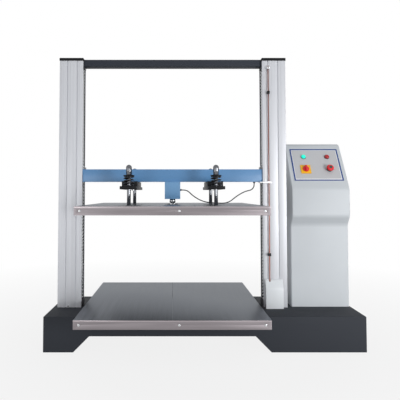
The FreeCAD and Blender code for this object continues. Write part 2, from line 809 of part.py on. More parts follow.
def cap_nut(x, y):
    """A hexagon base under a closed dome, hollow for the end of the hanger."""
    body = new_body("cap_nut")
    dome_start = "cap_nut_height - cap_nut_radius"
    half = new_sketch(body, "XZ_Plane")
    first = half.addGeometry(Part.LineSegment(Vector(0, 0, 0), Vector(15, 0, 0)))
    ends = [("15", "0"), ("15", "20"), ("17", "20"), ("17", "43")]
    for start, end in zip(ends, ends[1:]):
        half.addGeometry(Part.LineSegment(Vector(float(start[0]), float(start[1]), 0),
                                          Vector(float(end[0]), float(end[1]), 0)))
    dome = half.addGeometry(Part.ArcOfCircle(Part.Circle(Vector(0, 43, 0), Vector(0, 0, 1), 17),
                                             0, math.pi / 2))
    spine = half.addGeometry(Part.LineSegment(Vector(0, 60, 0), Vector(0, 0, 0)))
    for step in range(first, first + 3):
        half.addConstraint(Sketcher.Constraint("Coincident", step, 2, step + 1, 1))
    half.addConstraint(Sketcher.Constraint("Coincident", first + 3, 2, dome, 1))
    half.addConstraint(Sketcher.Constraint("Coincident", dome, 2, spine, 1))
    half.addConstraint(Sketcher.Constraint("Coincident", spine, 2, first, 1))
    fix_point(half, first, 1, "0", "0")
    fix_point(half, first, 2, "cap_nut_hex / 2", "0")
    fix_point(half, first + 1, 2, "cap_nut_hex / 2", "cap_nut_hex_height")
    fix_point(half, first + 2, 2, "cap_nut_radius", "cap_nut_hex_height")
    fix_point(half, first + 3, 2, "cap_nut_radius", dome_start)
    fix_point(half, dome, 3, "0", dome_start)
    half.addConstraint(Sketcher.Constraint("PointOnObject", dome, 2, -2))
    revolve(body, half)
    hexagon = new_sketch(body, "XY_Plane")
    corner = "cap_nut_hex / sqrt(3)"
    polygon(hexagon, [("%s * %s" % (corner, round(math.cos(math.radians(60 * step)), 6)),
                       "%s * %s" % (corner, round(math.sin(math.radians(60 * step)), 6)))
                      for step in range(6)])
    pad(body, hexagon, "cap_nut_hex_height")
    bore = new_sketch(body, "XY_Plane")
    circle(bore, "0", "0", "hanger_radius")
    pocket(body, bore, "cap_nut_height - cap_nut_wall - cap_nut_radius / 2", back=True)
    return put(body, x, y, "NUT_LOW")


def build_suspension():
    blocks = []
    plates = []
    for side in (-1, 1):
        x = "%d * suspension_x" % side
        blocks.append(box(("%s - bracket_block_width / 2" % x, "%s + bracket_block_width / 2" % x),
                          ("-bracket_block_length / 2", "bracket_block_length / 2"),
                          ("BLOCK_LOW", "crosshead_height")))
        plate = box(("%s - bracket_plate_width / 2" % x, "%s + bracket_plate_width / 2" % x),
                    ("-bracket_plate_length / 2", "bracket_plate_length / 2"),
                    ("PLATE_LOW", "BLOCK_LOW"))
        plates.append(cut(plate, *[rod(x, y, ("PLATE_LOW - 1", "BLOCK_LOW + 1"),
                                       "hanger_radius + hanger_clearance")
                                   for y in ("-suspension_y", "suspension_y")]))
    node("bracket_blocks", group(*blocks))
    node("bracket_plates", group(*plates))
    node("suspension_springs", group(*[coil_spring(x, y) for x, y in CORNERS]))
    hanger_top = "NUT_LOW + cap_nut_height - cap_nut_wall - cap_nut_radius / 2"
    node("suspension_rods", group(*[rod(x, y, ("UPPER_BACK - hanger_anchor", hanger_top),
                                        "hanger_radius") for x, y in CORNERS]))
    node("spring_washers", group(*[cut(rod(x, y, ("WASHER_LOW", "NUT_LOW"), "washer_radius"),
                                       rod(x, y, ("WASHER_LOW - 1", "NUT_LOW + 1"), "hanger_radius"))
                                   for x, y in CORNERS]))
    node("cap_nuts", group(*[cap_nut(x, y) for x, y in CORNERS]))


# Platens: a ribbed core wrapped in a folded steel skin, screwed together along the edges
def platen_core(low, high, cells):
    """A bonded sandwich panel: closed cells between ribs that cross under the hangers."""
    half = "(platen_side / 2 - platen_skin)"
    plate = box(("-" + half, half), ("-" + half, half), (low, high))
    across = (("platen_rib / 2", "suspension_x - platen_rib / 2"),
              ("suspension_x + platen_rib / 2", half + " - platen_border"))
    along = (("platen_rib / 2", "suspension_y - platen_rib / 2"),
             ("suspension_y + platen_rib / 2", half + " - platen_border"))
    hollows = [box(sided(side_x, *span_x), sided(side_y, *span_y), cells)
               for side_x in (-1, 1) for span_x in across for side_y in (-1, 1) for span_y in along]
    return cut(plate, *hollows)


def platen_skin(low, high, open_low, open_high):
    """A folded tray between two heights, open on one side."""
    half = "platen_side / 2"
    inside = "(platen_side / 2 - platen_skin)"
    return cut(box(("-" + half, half), ("-" + half, half), (low, high)),
               box(("-" + inside, inside), ("-" + inside, inside), (open_low, open_high)))


def edge_screws(height):
    """Button head screws along the four edges of a platen."""
    edge = "platen_side / 2"
    seat = "(platen_side / 2 - platen_skin)"
    ends = ("screw_end_distance - " + edge, "middle_screw_offset", edge + " - screw_end_distance")
    screws = []
    for along in ends:
        for side in (-1, 1):
            for make, first, second in ((lying_rod, along, None), (cross_rod, None, along)):
                head = sided(side, edge, edge + " + screw_head_height")
                shank = sided(side, seat, edge)
                for span, radius in ((head, "screw_head_radius"), (shank, "screw_shank_radius")):
                    spot = (along, span) if make is lying_rod else (span, along)
                    screws.append(make(spot[0], spot[1], height, radius))
    pairs = [fuse(screws[index], screws[index + 1]) for index in range(0, len(screws), 2)]
    return group(*pairs)


def skin_holes(height):
    """The through holes of the edge screws in a platen's skin."""
    edge = "platen_side / 2"
    tools = []
    for along in ("screw_end_distance - " + edge, "middle_screw_offset",
                  edge + " - screw_end_distance"):
        for side in (-1, 1):
            span = sided(side, "(%s - platen_skin - 1)" % edge, "(%s + 1)" % edge)
            tools.append(lying_rod(along, span, height, "screw_shank_radius"))
            tools.append(cross_rod(span, along, height, "screw_shank_radius"))
    return tools


def build_platens():
    table_low = "base_height"
    lower_middle = "(base_height + platen_thickness / 2)"
    upper_middle = "(UPPER_FACE + platen_thickness / 2)"
    node("lower_platen_core", platen_core(table_low, "(TABLE - platen_skin)",
                                          (table_low + " + platen_back_sheet",
                                           "TABLE - platen_skin - platen_face_plate")))
    node("lower_platen_skin", cut(platen_skin(table_low, "TABLE", "base_height - 1",
                                              "TABLE - platen_skin"), *skin_holes(lower_middle)))
    node("lower_platen_screws", edge_screws(lower_middle))
    core = platen_core("(UPPER_FACE + platen_skin)", "UPPER_BACK",
                       ("UPPER_FACE + platen_skin + platen_face_plate",
                        "UPPER_BACK - platen_back_sheet"))
    sockets = [rod(x, y, ("UPPER_BACK - hanger_anchor", "UPPER_BACK + 1"), "hanger_radius")
               for x, y in CORNERS]
    node("upper_platen_core", cut(core, *sockets))
    node("upper_platen_skin", cut(platen_skin("UPPER_FACE", "UPPER_BACK",
                                              "UPPER_FACE + platen_skin", "UPPER_BACK + 1"),
                                  *skin_holes(upper_middle)))
    node("upper_platen_screws", edge_screws(upper_middle))


# Travel limits: a rod in front of the right column with two stops, and the finger that meets them
def limit_stop(name, height):
    """A ring on the rod with a clamping knob to the front."""
    span = ("%s - stop_height / 2" % height, "%s + stop_height / 2" % height)
    ring = rod("LIMIT_X", "-LIMIT_Y", span, "stop_radius")
    knob = lying_rod("LIMIT_X", ("-LIMIT_Y - stop_radius - stop_knob_length",
                                 "-LIMIT_Y - stop_radius / 2"), height, "stop_knob_radius")
    bore = rod("LIMIT_X", "-LIMIT_Y", (span[0] + " - 1", span[1] + " + 1"),
               "limit_rod_radius + stop_bore_gap")
    node(name, cut(fuse(ring, knob), bore))


def foot_cover():
    """A bent sheet cover over the limit switches, open at the back and below."""
    body = new_body("foot_cover")
    back = "-column_depth / 2"
    front = "-column_depth / 2 - cover_depth"
    top = "base_height + cover_height"
    profile = new_sketch(body, "YZ_Plane", "LIMIT_X + cover_offset")
    polygon(profile, [(back, "base_height"), (front, "base_height"),
                      (front, "base_height + cover_front_height"),
                      (back + " - cover_brow", top), (back, top)])
    pad(body, profile, "cover_width", middle=True)
    doc.recompute()
    brow = number("base_height + cover_front_height")
    soften(body, "Fillet", edges_at(body.Shape, lambda middle, way: abs(way.x) > 0.99
                                    and abs(middle.z - brow) < 0.01), "cover_bend")
    shell_out(body, "cover_sheet", lambda centre: abs(centre.z - number("base_height")) < 0.01
              or abs(centre.y - number(back)) < 0.01)
    hole = new_sketch(body, "XY_Plane", "base_height + cover_height + 1")
    circle(hole, "LIMIT_X", "-LIMIT_Y", "limit_rod_radius + 2")
    pocket(body, hole, "cover_height / 3")
    return body


def build_limits():
    low = "limit_rod_foot"
    node("limit_rod", rod("LIMIT_X", "-LIMIT_Y", (low, low + " + limit_rod_length"),
                          "limit_rod_radius"))
    limit_stop("upper_limit_stop", "upper_stop_height")
    limit_stop("lower_limit_stop", "lower_stop_height")
    lug = box(("LIMIT_X - guide_bracket_width / 2", "LIMIT_X + guide_bracket_width / 2"),
              ("-LIMIT_Y - limit_rod_radius - 5", "-column_depth / 2"),
              ("guide_bracket_height", "guide_bracket_height + guide_bracket_thickness"))
    eye = rod("LIMIT_X", "-LIMIT_Y", ("guide_bracket_height - 1",
                                      "guide_bracket_height + guide_bracket_thickness + 1"),
              "limit_rod_radius + stop_bore_gap")
    node("limit_rod_guide", cut(lug, eye))
    # Trip finger: a leg under the crosshead's end and an arm across the column's front
    front = "(-column_depth / 2 - finger_gap)"
    tall = ("crosshead_height - finger_thickness", "crosshead_height")
    leg = box(("column_face - 2 - finger_leg_width", "column_face - 2"),
              (front + " - finger_depth", front + " - finger_depth + finger_leg_length"), tall)
    arm = box(("column_face - 2 - finger_leg_width", "column_face + finger_reach"),
              (front + " - finger_depth", front), tall)
    eye = rod("LIMIT_X", "-LIMIT_Y", (tall[0] + " - 1", tall[1] + " + 1"), "finger_hole_radius")
    node("trip_finger", cut(fuse(leg, arm), eye))
    node("foot_cover", foot_cover())
    switches = [box(sided(1, "LIMIT_X + limit_rod_radius + switch_gap",
                          "LIMIT_X + limit_rod_radius + switch_gap + switch_width"),
                    ("-column_depth / 2 - switch_depth", "-column_depth / 2"),
                    ("base_height + %s" % rise, "base_height + switch_height + %s" % rise))
                for rise in ("10", "10 + switch_pitch")]
    node("limit_switches", group(*switches))


# Console: a bent sheet housing with a sloping control panel
def build_console():
    body = new_body("console_housing")
    front, head = "-console_front", "-console_head_front"
    floor = "base_height"
    profile = new_sketch(body, "YZ_Plane", "CONSOLE_MID")
    polygon(profile, [(front, floor), (front, "CONSOLE_TOP - console_neck_drop"),
                      (head, "CONSOLE_TOP - console_head_drop"),
                      (head, "CONSOLE_TOP - console_panel_drop"),
                      ("console_top_start", "CONSOLE_TOP"), ("CONSOLE_BACK", "CONSOLE_TOP"),
                      ("CONSOLE_BACK", floor)])
    pad(body, profile, "console_width", middle=True)
    doc.recompute()
    bends = edges_at(body.Shape, lambda middle, way: abs(way.x) > 0.99
                     and middle.z > number(floor) + 1 and middle.y < number("CONSOLE_BACK") - 1)
    soften(body, "Fillet", bends, "console_bend")
    doc.recompute()
    side = number("console_width / 2")
    centre = number("CONSOLE_MID")
    rims = edges_at(body.Shape, lambda middle, way: abs(abs(middle.x - centre) - side) < 0.01
                    and middle.z > number(floor) + 1 and middle.y < number("CONSOLE_BACK") - 1)
    soften(body, "Fillet", rims, "console_edge")
    doc.recompute()
    shell_out(body, "console_sheet", lambda spot: abs(spot.z - number(floor)) < 0.01
              or abs(spot.y - number("CONSOLE_BACK")) < 0.01)
    node("console_housing", body)
    low, high = "console_start", "console_start + console_width"
    door = box((low, high), ("CONSOLE_BACK", "CONSOLE_BACK + door_sheet"),
               (floor, "CONSOLE_TOP - console_edge"))
    louvres = []
    for step in range(int(number("louvre_count"))):
        for start in ("louvre_start", "console_height - 2 * louvre_start - louvre_count * louvre_pitch"):
            rise = "base_height + %s + %d * louvre_pitch" % (start, step)
            louvres.append(box(("CONSOLE_MID - louvre_width / 2", "CONSOLE_MID + louvre_width / 2"),
                               ("CONSOLE_BACK - 1", "CONSOLE_BACK + door_sheet + 1"),
                               (rise, rise + " + louvre_height")))
    node("console_back_door", cut(door, *louvres))
    inner_wall = "(console_start + console_width - console_sheet)"
    node("servo_drive", box((inner_wall + " - drive_unit_width", inner_wall),
                            ("(CONSOLE_BACK - console_front - drive_unit_depth) / 2",
                             "(CONSOLE_BACK - console_front + drive_unit_depth) / 2"),
                            ("base_height + drive_unit_rise",
                             "base_height + drive_unit_rise + drive_unit_height")))


def on_panel(name, item):
    """Lay a piece drawn flat (x across, y inwards, z up the slope) on the sloping panel."""
    run = "(console_top_start + console_head_front)"
    item.Placement = Placement(Vector(), Rotation(Vector(-1, 0, 0), 30))
    item.setExpression("Placement.Rotation.Angle", formula("atan(%s / console_panel_drop)" % run))
    put(item, "CONSOLE_MID", "-console_head_front", "CONSOLE_TOP - console_panel_drop")
    node(name, item)


def build_controls():
    plate = box(("-panel_width / 2", "panel_width / 2"), ("-panel_sheet", "0"),
                ("panel_rise", "panel_rise + panel_height"))
    on_panel("control_panel", group(plate))
    face = "-panel_sheet"
    for name, side in (("green_lamp", -1), ("red_lamp", 1)):
        x = "control_shift + %d * control_spread" % side
        bezel = lying_rod(x, (face + " - lamp_bezel_height", face), "lamp_rise", "lamp_bezel_radius")
        lens = domed_rod(x, (face + " - lamp_lens_height", face + " - lamp_bezel_height"),
                         "lamp_rise", "lamp_lens_radius", "lamp_dome_rise")
        on_panel(name, fuse(bezel, lens))
    x = "control_shift - control_spread"
    half = "isolator_plate_side / 2"
    plate_front = "(-panel_sheet - isolator_plate_thickness)"
    on_panel("isolator_plate", group(box(("%s - %s" % (x, half), "%s + %s" % (x, half)),
                                         (plate_front, face),
                                         ("switch_rise - " + half, "switch_rise + " + half))))
    knob_back = "(-panel_sheet - isolator_plate_thickness - isolator_gap)"
    disc_front = "(-panel_sheet - isolator_plate_thickness - isolator_gap - isolator_disc_height)"
    disc = lying_rod(x, (disc_front, knob_back), "switch_rise", "isolator_disc_radius")
    grip = box(("%s - isolator_grip_width / 2" % x, "%s + isolator_grip_width / 2" % x),
               ("%s - isolator_grip_height" % knob_back, disc_front),
               ("switch_rise - isolator_grip_length / 2", "switch_rise + isolator_grip_length / 2"))
    on_panel("isolator_handle", fuse(disc, grip))
    x = "control_shift + control_spread"
    collar_front = "(-panel_sheet - stop_collar_height)"
    collar = cut(lying_rod(x, (collar_front, face), "switch_rise", "stop_collar_radius"),
                 lying_rod(x, (collar_front + " - 1", "1 - panel_sheet"), "switch_rise",
                           "stop_stem_radius + stop_stem_gap"))
    on_panel("stop_button_collar", collar)
    head_back = "(-panel_sheet - stop_collar_height - stop_travel - 1)"
    head = domed_rod(x, (head_back + " - stop_head_height", head_back), "switch_rise",
                     "stop_head_radius", "stop_dome_rise")
    stem = lying_rod(x, (head_back, "-panel_sheet - stop_travel - 1"), "switch_rise",
                     "stop_stem_radius")
    on_panel("stop_button", fuse(head, stem))


# Load cell cable, from the housing's side to the underside of the crosshead
CABLE_ROUTE = [(55, -30, 901), (77, -30, 901), (97.3, -30, 892.6), (128, -30, 862), (186, -28, 829),
               (262, -12, 821), (340, -18, 820), (392, -18, 864), (444.6, -18, 893.5),
               (478.1, -18, 899.4), (492.1, -18, 909.9), (500, -18, 925.5), (500, -18, 943)]


def rounded_tube(route, radius):
    """A tube of straight runs and tangent arcs, each arc 0.45 of the shorter of its two runs."""
    points = [Vector(*point) for point in route]
    edges = []
    start = points[0]
    for before, corner, after in zip(points, points[1:], points[2:]):
        first, second = corner - before, after - corner
        turn = first.getAngle(second)
        reach = 0.45 * min(first.Length, second.Length)
        first.normalize()
        second.normalize()
        enter, leave = corner - first * reach, corner + second * reach
        bend = reach / math.tan(turn / 2)
        inwards = (second - first).normalize()
        middle = corner + inwards * (bend / math.cos(turn / 2) - bend)
        edges += [Part.LineSegment(start, enter).toShape(),
                  Part.Arc(enter, middle, leave).toShape()]
        start = leave
        print("cable bend radius %.1f mm, turn %.0f degrees" % (bend, math.degrees(turn)))
    edges.append(Part.LineSegment(start, points[-1]).toShape())
    path = Part.Wire(edges)
    ring = Part.Wire(Part.Circle(points[0], points[1] - points[0], radius).toShape())
    tube = path.makePipeShell([ring], True, True)
    expected = math.pi * radius ** 2 * path.Length
    if abs(tube.Volume / expected - 1) > 0.01:
        raise RuntimeError("the cable's tube has the wrong volume")
    print("cable length %.1f mm" % path.Length)
    return tube


def build_cable():
    item = doc.addObject("Part::Feature", "cable")
    item.Shape = rounded_tube(CABLE_ROUTE, number("cable_radius"))
    node("load_cell_cable", item)
    first, last = CABLE_ROUTE[0], CABLE_ROUTE[-1]
    side = cross_rod(("cell_housing_width / 2", "cell_housing_width / 2 + gland_length"),
                     str(first[1]), str(first[2]), "gland_radius")
    under = rod(str(last[0]), str(last[1]), ("crosshead_height - gland_length", "crosshead_height"),
                "gland_radius")
    node("cable_glands", group(side, under))


build_base()
build_columns()
build_guides()
build_drive()
build_crosshead()
build_load_cell()
build_suspension()
build_platens()
build_limits()
build_console()
build_controls()
build_cable()
doc.recompute()

# Check every object, then write one file for each sub-part
for item in doc.Objects:
    if "Invalid" in item.State or "Error" in item.State:
        raise RuntimeError("%s (%s) failed: %s" % (item.Name, item.Label, item.State))
for item in NODES:
    if item.Shape.isNull() or not item.Shape.isValid():
        raise RuntimeError(item.Label + " has no valid shape")
os.makedirs("parts", exist_ok=True)
for item in NODES:
    item.Shape.exportStep(os.path.join("parts", item.Label + ".step"))
    print(item.Label, len(item.Shape.Solids), round(item.Shape.Volume / 1000, 1))
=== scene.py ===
import json
import math

import bmesh
import bpy
from bpy.props import FloatProperty, FloatVectorProperty, IntProperty, PointerProperty
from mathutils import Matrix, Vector

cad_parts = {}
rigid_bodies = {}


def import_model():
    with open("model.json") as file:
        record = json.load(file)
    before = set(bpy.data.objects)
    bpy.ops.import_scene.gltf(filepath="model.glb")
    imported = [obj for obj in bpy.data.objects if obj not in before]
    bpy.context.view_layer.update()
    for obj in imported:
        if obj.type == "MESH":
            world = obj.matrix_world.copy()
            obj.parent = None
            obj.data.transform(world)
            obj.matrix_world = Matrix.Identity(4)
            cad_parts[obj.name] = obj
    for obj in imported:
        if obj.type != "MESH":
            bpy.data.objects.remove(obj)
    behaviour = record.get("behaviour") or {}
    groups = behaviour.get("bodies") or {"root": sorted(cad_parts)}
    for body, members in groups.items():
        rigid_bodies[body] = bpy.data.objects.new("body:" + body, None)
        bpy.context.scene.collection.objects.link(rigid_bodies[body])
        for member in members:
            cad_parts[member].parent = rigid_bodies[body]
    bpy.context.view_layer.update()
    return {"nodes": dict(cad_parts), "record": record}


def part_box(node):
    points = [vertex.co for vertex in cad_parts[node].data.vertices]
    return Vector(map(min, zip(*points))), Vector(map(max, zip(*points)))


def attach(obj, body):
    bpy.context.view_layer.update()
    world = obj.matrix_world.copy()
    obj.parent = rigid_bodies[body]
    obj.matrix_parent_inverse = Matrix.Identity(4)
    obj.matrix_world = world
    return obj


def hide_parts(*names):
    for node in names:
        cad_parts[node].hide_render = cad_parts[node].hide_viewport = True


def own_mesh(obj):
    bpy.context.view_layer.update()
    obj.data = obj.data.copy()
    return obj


bl_info = {
    "name": "Carton compression tester",
    "version": (1, 0, 0),
    "blender": (4, 5, 0),
    "location": "3D View > Sidebar > Tester",
    "description": "Dresses the packed tester with finished pieces and materials",
    "category": "Object",
}

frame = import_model()
BODY_OF = {node: body for body, nodes in frame["record"]["behaviour"]["bodies"].items()
           for node in nodes}
MM = 0.001


def linear(code):
    """An sRGB hex colour as linear red, green and blue."""
    parts = [int(code[start:start + 2], 16) / 255 for start in (1, 3, 5)]
    return tuple(part / 12.92 if part <= 0.04045 else ((part + 0.055) / 1.055) ** 2.4
                 for part in parts)


def tint(title, description, code):
    return FloatVectorProperty(name=title, description=description, subtype="COLOR", size=3,
                               min=0.0, max=1.0, default=linear(code))


def span(title, description, default):
    return FloatProperty(name=title, description=description, unit="LENGTH", min=0.0,
                         default=default)


class TesterColours(bpy.types.PropertyGroup):
    """Colours of the tester's finishes"""
    base: tint("Base enamel", "Powder coat of the base", "#32353b")
    column: tint("Column", "Anodised aluminium of the columns", "#d1d3d8")
    crosshead: tint("Crosshead enamel", "Blue enamel of the crosshead", "#5b8dbd")
    # The housing's paler blue is painted light: a lighter copy of the crosshead's blue enamel,
    # drawn lighter than the beam above it
    housing: tint("Housing enamel", "Paler blue enamel of the load cell's housing", "#72a2ce")
    top_beam: tint("Top beam enamel", "Dark enamel of the top beam", "#373b43")
    platen: tint("Platen", "Brushed stainless steel of the platens' sides", "#8b8588")
    # The platens' edge band is a painted highlight: paler steel standing in for the light caught
    # along the bent top edge
    platen_edge_highlight: tint("Platen rim", "Rubbed steel where the platens' sheet is bent", "#a29a9d")
    platen_top: tint("Platen face", "Belt ground stainless steel of the platens' faces", "#787a7e")
    console: tint("Console", "Pale powder coat of the console", "#c4c9cd")
    panel: tint("Panel film", "Grey film of the control panel", "#bcbdc0")
    border: tint("Panel border", "Printed line round the panel", "#0d3c80")
    bracket: tint("Bracket", "Black oxide of the suspension brackets", "#101114")
    limit_rod: tint("Limit rod", "Lacquer of the limit rod", "#8e5a4e")
    green: tint("Green lamp", "Lens of the green lamp", "#08e0c0")
    red: tint("Red lamp", "Lens of the red lamp", "#b00a18")
    stop: tint("Stop button", "Moulded head of the stop button", "#e0202a")
    plate: tint("Isolator plate", "Moulded plate behind the isolator's handle", "#f0b418")


class TesterSizes(bpy.types.PropertyGroup):
    """Sizes of the details that the scene adds"""
    edge: span("Edge radius", "Broken edges of machined pieces", 0.8 * MM)
    sheet_edge: span("Sheet edge radius", "Bent edges of the base's sheet", 3 * MM)
    lead: span("Screw lead", "Rise of the ball screws' groove in one turn", 20 * MM)
    groove: span("Groove depth", "Depth of the ball screws' groove", 3 * MM)
    border: span("Border width", "Width of the printed line round the panel", 8.5 * MM)
    wire: span("Spring wire radius", "Half the thickness of the spring wire", 3.6 * MM)
    turns: IntProperty(name="Spring turns", description="Turns of each suspension spring",
                       min=2, max=12, default=5)
    camera_lens: FloatProperty(name="Lens", description="Focal length of the camera", min=10.0,
                               default=41.37, unit="CAMERA")


def colours():
    return bpy.context.scene.tester_colours


def sizes():
    return bpy.context.scene.tester_sizes


# Working with operators -------------------------------------------------------------------

def pick(*objects):
    """Leave only these objects selected, the last one active."""
    if bpy.context.mode != "OBJECT":
        bpy.ops.object.mode_set(mode="OBJECT")
    bpy.ops.object.select_all(action="DESELECT")
    for obj in objects:
        obj.select_set(True)
    if objects:
        bpy.context.view_layer.objects.active = objects[-1]


def named(name):
    obj = bpy.context.object
    obj.name = name
    obj.data.name = name
    return obj


def settle(obj):
    """Put the object's place, turn and size into its mesh."""
    pick(obj)
    bpy.ops.object.transform_apply(location=True, rotation=True, scale=True)
    return obj


def edit(obj, kind="VERT"):
    """Enter edit mode with everything selected."""
    pick(obj)
    bpy.ops.object.mode_set(mode="EDIT")
    bpy.ops.mesh.select_mode(type=kind)
    bpy.ops.mesh.select_all(action="SELECT")


def done():
    bpy.ops.object.mode_set(mode="OBJECT")


def block(name, low, high):
    low, high = Vector(low), Vector(high)
    pick()
    bpy.ops.mesh.primitive_cube_add(size=1, location=(low + high) / 2, scale=high - low)
    return settle(named(name))


def outlined(name, profile):
    """A line of edges in the XZ plane, drawn from one point by extrusion."""
    pick()
    bpy.ops.mesh.primitive_plane_add(size=MM)
    obj = named(name)
    edit(obj)
    bpy.ops.mesh.merge(type="CENTER")
    bpy.ops.transform.translate(value=(profile[0][0], 0, profile[0][1]))
    for before, after in zip(profile, profile[1:]):
        step = (after[0] - before[0], 0, after[1] - before[1])
        bpy.ops.mesh.extrude_vertices_move(TRANSFORM_OT_translate={"value": step})
    done()
    return obj


def aimed(obj, start, way):
    """Stand a piece that was drawn up the Z axis on start, pointing along way."""
    obj.location = start
    obj.rotation_euler = Vector(way).to_track_quat("Z", "Y").to_euler()
    return settle(obj)


def in_mm(*points):
    """A profile's radii and heights, written in millimetres."""
    return [(radius * MM, height * MM) for radius, height in points]


def turned(name, profile, start=(0, 0, 0), way=(0, 0, 1), steps=40):
    """Spin a profile of radius and height round an axis that leaves start along way."""
    obj = outlined(name, profile)
    edit(obj)
    bpy.ops.mesh.spin(steps=steps, angle=2 * math.pi, center=(0, 0, 0), axis=(0, 0, 1))
    bpy.ops.mesh.select_all(action="SELECT")
    bpy.ops.mesh.remove_doubles(threshold=0.01 * MM)
    bpy.ops.mesh.normals_make_consistent(inside=False)
    done()
    return aimed(obj, start, way)


def choose(obj, kind, test):
    """Enter edit mode with the faces or edges selected whose middle and direction pass."""
    pick(obj)
    bpy.ops.object.mode_set(mode="EDIT")
    bpy.ops.mesh.select_mode(type=kind)
    bpy.ops.mesh.select_all(action="DESELECT")
    mesh = bmesh.from_edit_mesh(obj.data)
    if kind == "FACE":
        found = [face for face in mesh.faces if test(face.calc_center_median(), face.normal)]
    else:
        found = []
        for edge in mesh.edges:
            first, second = (vertex.co for vertex in edge.verts)
            if test((first + second) / 2, (second - first).normalized()):
                found.append(edge)
    if not found:
        raise RuntimeError(obj.name + ": nothing there to work on")
    for part in found:
        part.select_set(True)
    mesh.select_flush_mode()
    bmesh.update_edit_mesh(obj.data)


def bevelled(obj, width, segments=2, angle=30):
    """Round every edge sharper than the angle."""
    pick(obj)
    bpy.ops.object.modifier_add(type="BEVEL")
    modifier = obj.modifiers[-1]
    modifier.width = width
    modifier.segments = segments
    modifier.limit_method = "ANGLE"
    modifier.angle_limit = math.radians(angle)
    modifier.harden_normals = False
    bpy.ops.object.modifier_apply(modifier=modifier.name)
    return obj


def carved(obj, tool, operation="DIFFERENCE"):
    """Combine a piece with a tool that is then removed."""
    pick(obj)
    bpy.ops.object.modifier_add(type="BOOLEAN")
    modifier = obj.modifiers[-1]
    modifier.operation = operation
    modifier.solver = "EXACT"
    modifier.object = tool
    bpy.ops.object.modifier_apply(modifier=modifier.name)
    bpy.data.objects.remove(tool)
    return obj


def joined(name, objects):
    pick(*objects)
    if len(objects) > 1:
        bpy.ops.object.join()
    return named(name)


def sliced(obj, axis, place):
    """Divide the faces that cross a plane, and take nothing off."""
    point, normal = Vector(), Vector()
    point[axis], normal[axis] = place, 1
    edit(obj)
    bpy.ops.mesh.bisect(plane_co=point, plane_no=normal)
    done()


def scored(obj, axis, place, width, depth, test=lambda middle, way: True):
    """Press a thin seam across an axis into the skin's faces that pass the test."""
    for edge in (place - width / 2, place + width / 2):
        sliced(obj, axis, edge)
    choose(obj, "FACE", lambda middle, way: abs(middle[axis] - place) < width / 2
           and abs(way[axis]) < 0.5 and test(middle, way))
    bpy.ops.mesh.extrude_region_shrink_fatten(TRANSFORM_OT_shrink_fatten={"value": -depth})
    done()


def smoothed(obj, angle=32):
    pick(obj)
    bpy.ops.object.shade_smooth_by_angle(angle=math.radians(angle))
    return obj


def finished(obj, body, name, replaces=(), angle=32):
    """Give a piece its finish, its body and the CAD nodes that it stands for."""
    smoothed(obj, angle)
    obj.data.materials.clear()
    obj.data.materials.append(finish(name))
    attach(obj, body)
    if replaces:
        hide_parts(*replaces)
    return obj


def stand_in(obj, node, name, angle=32):
    """Finish a piece that takes the place of one CAD node."""
    return finished(obj, BODY_OF[node], name, (node,), angle)


def dressed(node, name, width=0.0, segments=2, flat=1.0, angle=32, shape=None):
    """A merged copy of a CAD node with broken edges, in that node's place."""
    pick(frame["nodes"][node])
    bpy.ops.object.duplicate(linked=False)
    obj = named("finished_" + node)
    for key in list(obj.keys()):
        del obj[key]
    bpy.ops.object.parent_clear(type="CLEAR_KEEP_TRANSFORM")
    edit(obj)
    bpy.ops.mesh.remove_doubles(threshold=0.005 * MM)
    bpy.ops.mesh.dissolve_limited(angle_limit=math.radians(flat))
    done()
    if shape:
        shape(obj)
    if width:
        bevelled(obj, width, segments)
    return stand_in(obj, node, name, angle)


# Materials --------------------------------------------------------------------------------

def add(tree, kind, settings=None, links=None):
    """Add a node, set its sockets or properties and link what feeds it."""
    node = tree.nodes.new(kind)
    for key, value in (settings or {}).items():
        if hasattr(node, key):
            setattr(node, key, value)
        else:
            node.inputs[key].default_value = value
    for key, source in (links or {}).items():
        tree.links.new(source, node.inputs[key])
    return node


def started(name):
    """A material with its shader and the piece's own coordinates."""
    material = bpy.data.materials.new(name)
    material.use_nodes = True
    tree = material.node_tree
    shader = tree.nodes["Principled BSDF"]
    place = add(tree, "ShaderNodeTexCoord").outputs["Object"]
    return material, tree, shader, place


def grain(tree, place, size, detail=4.0, rough=0.55):
    """Noise whose spots have a real size in millimetres along X, Y and Z."""
    stretch = add(tree, "ShaderNodeMapping", {"Scale": [1000 / length for length in size]},
                  {"Vector": place})
    return add(tree, "ShaderNodeTexNoise", {"Scale": 1.0, "Detail": detail, "Roughness": rough},
               {"Vector": stretch.outputs["Vector"]}).outputs["Fac"]


def ramped(tree, source, low, high):
    """Stretch a noise's middle range over two limits."""
    return add(tree, "ShaderNodeMapRange", {"From Min": 0.3, "From Max": 0.7, "To Min": low,
                                            "To Max": high}, {"Value": source}).outputs["Result"]


def shaded(tree, shader, source, colour, low, high):
    """Vary a base colour's brightness between two factors by a noise."""
    share = ramped(tree, source, low, high)
    mix = add(tree, "ShaderNodeMix", {"data_type": "RGBA", "blend_type": "MULTIPLY"})
    mix.inputs["Factor"].default_value = 1.0
    sockets = [socket for socket in mix.inputs if socket.type == "RGBA"]
    sockets[0].default_value = (*colour, 1)
    grey = add(tree, "ShaderNodeCombineColor", None, {"Red": share, "Green": share, "Blue": share})
    tree.links.new(grey.outputs["Color"], sockets[1])
    result = [socket for socket in mix.outputs if socket.type == "RGBA"][0]
    tree.links.new(result, shader.inputs["Base Color"])


def bumped(tree, shader, source, strength, distance):
    bump = add(tree, "ShaderNodeBump", {"Strength": strength, "Distance": distance},
               {"Height": source})
    tree.links.new(bump.outputs["Normal"], shader.inputs["Normal"])


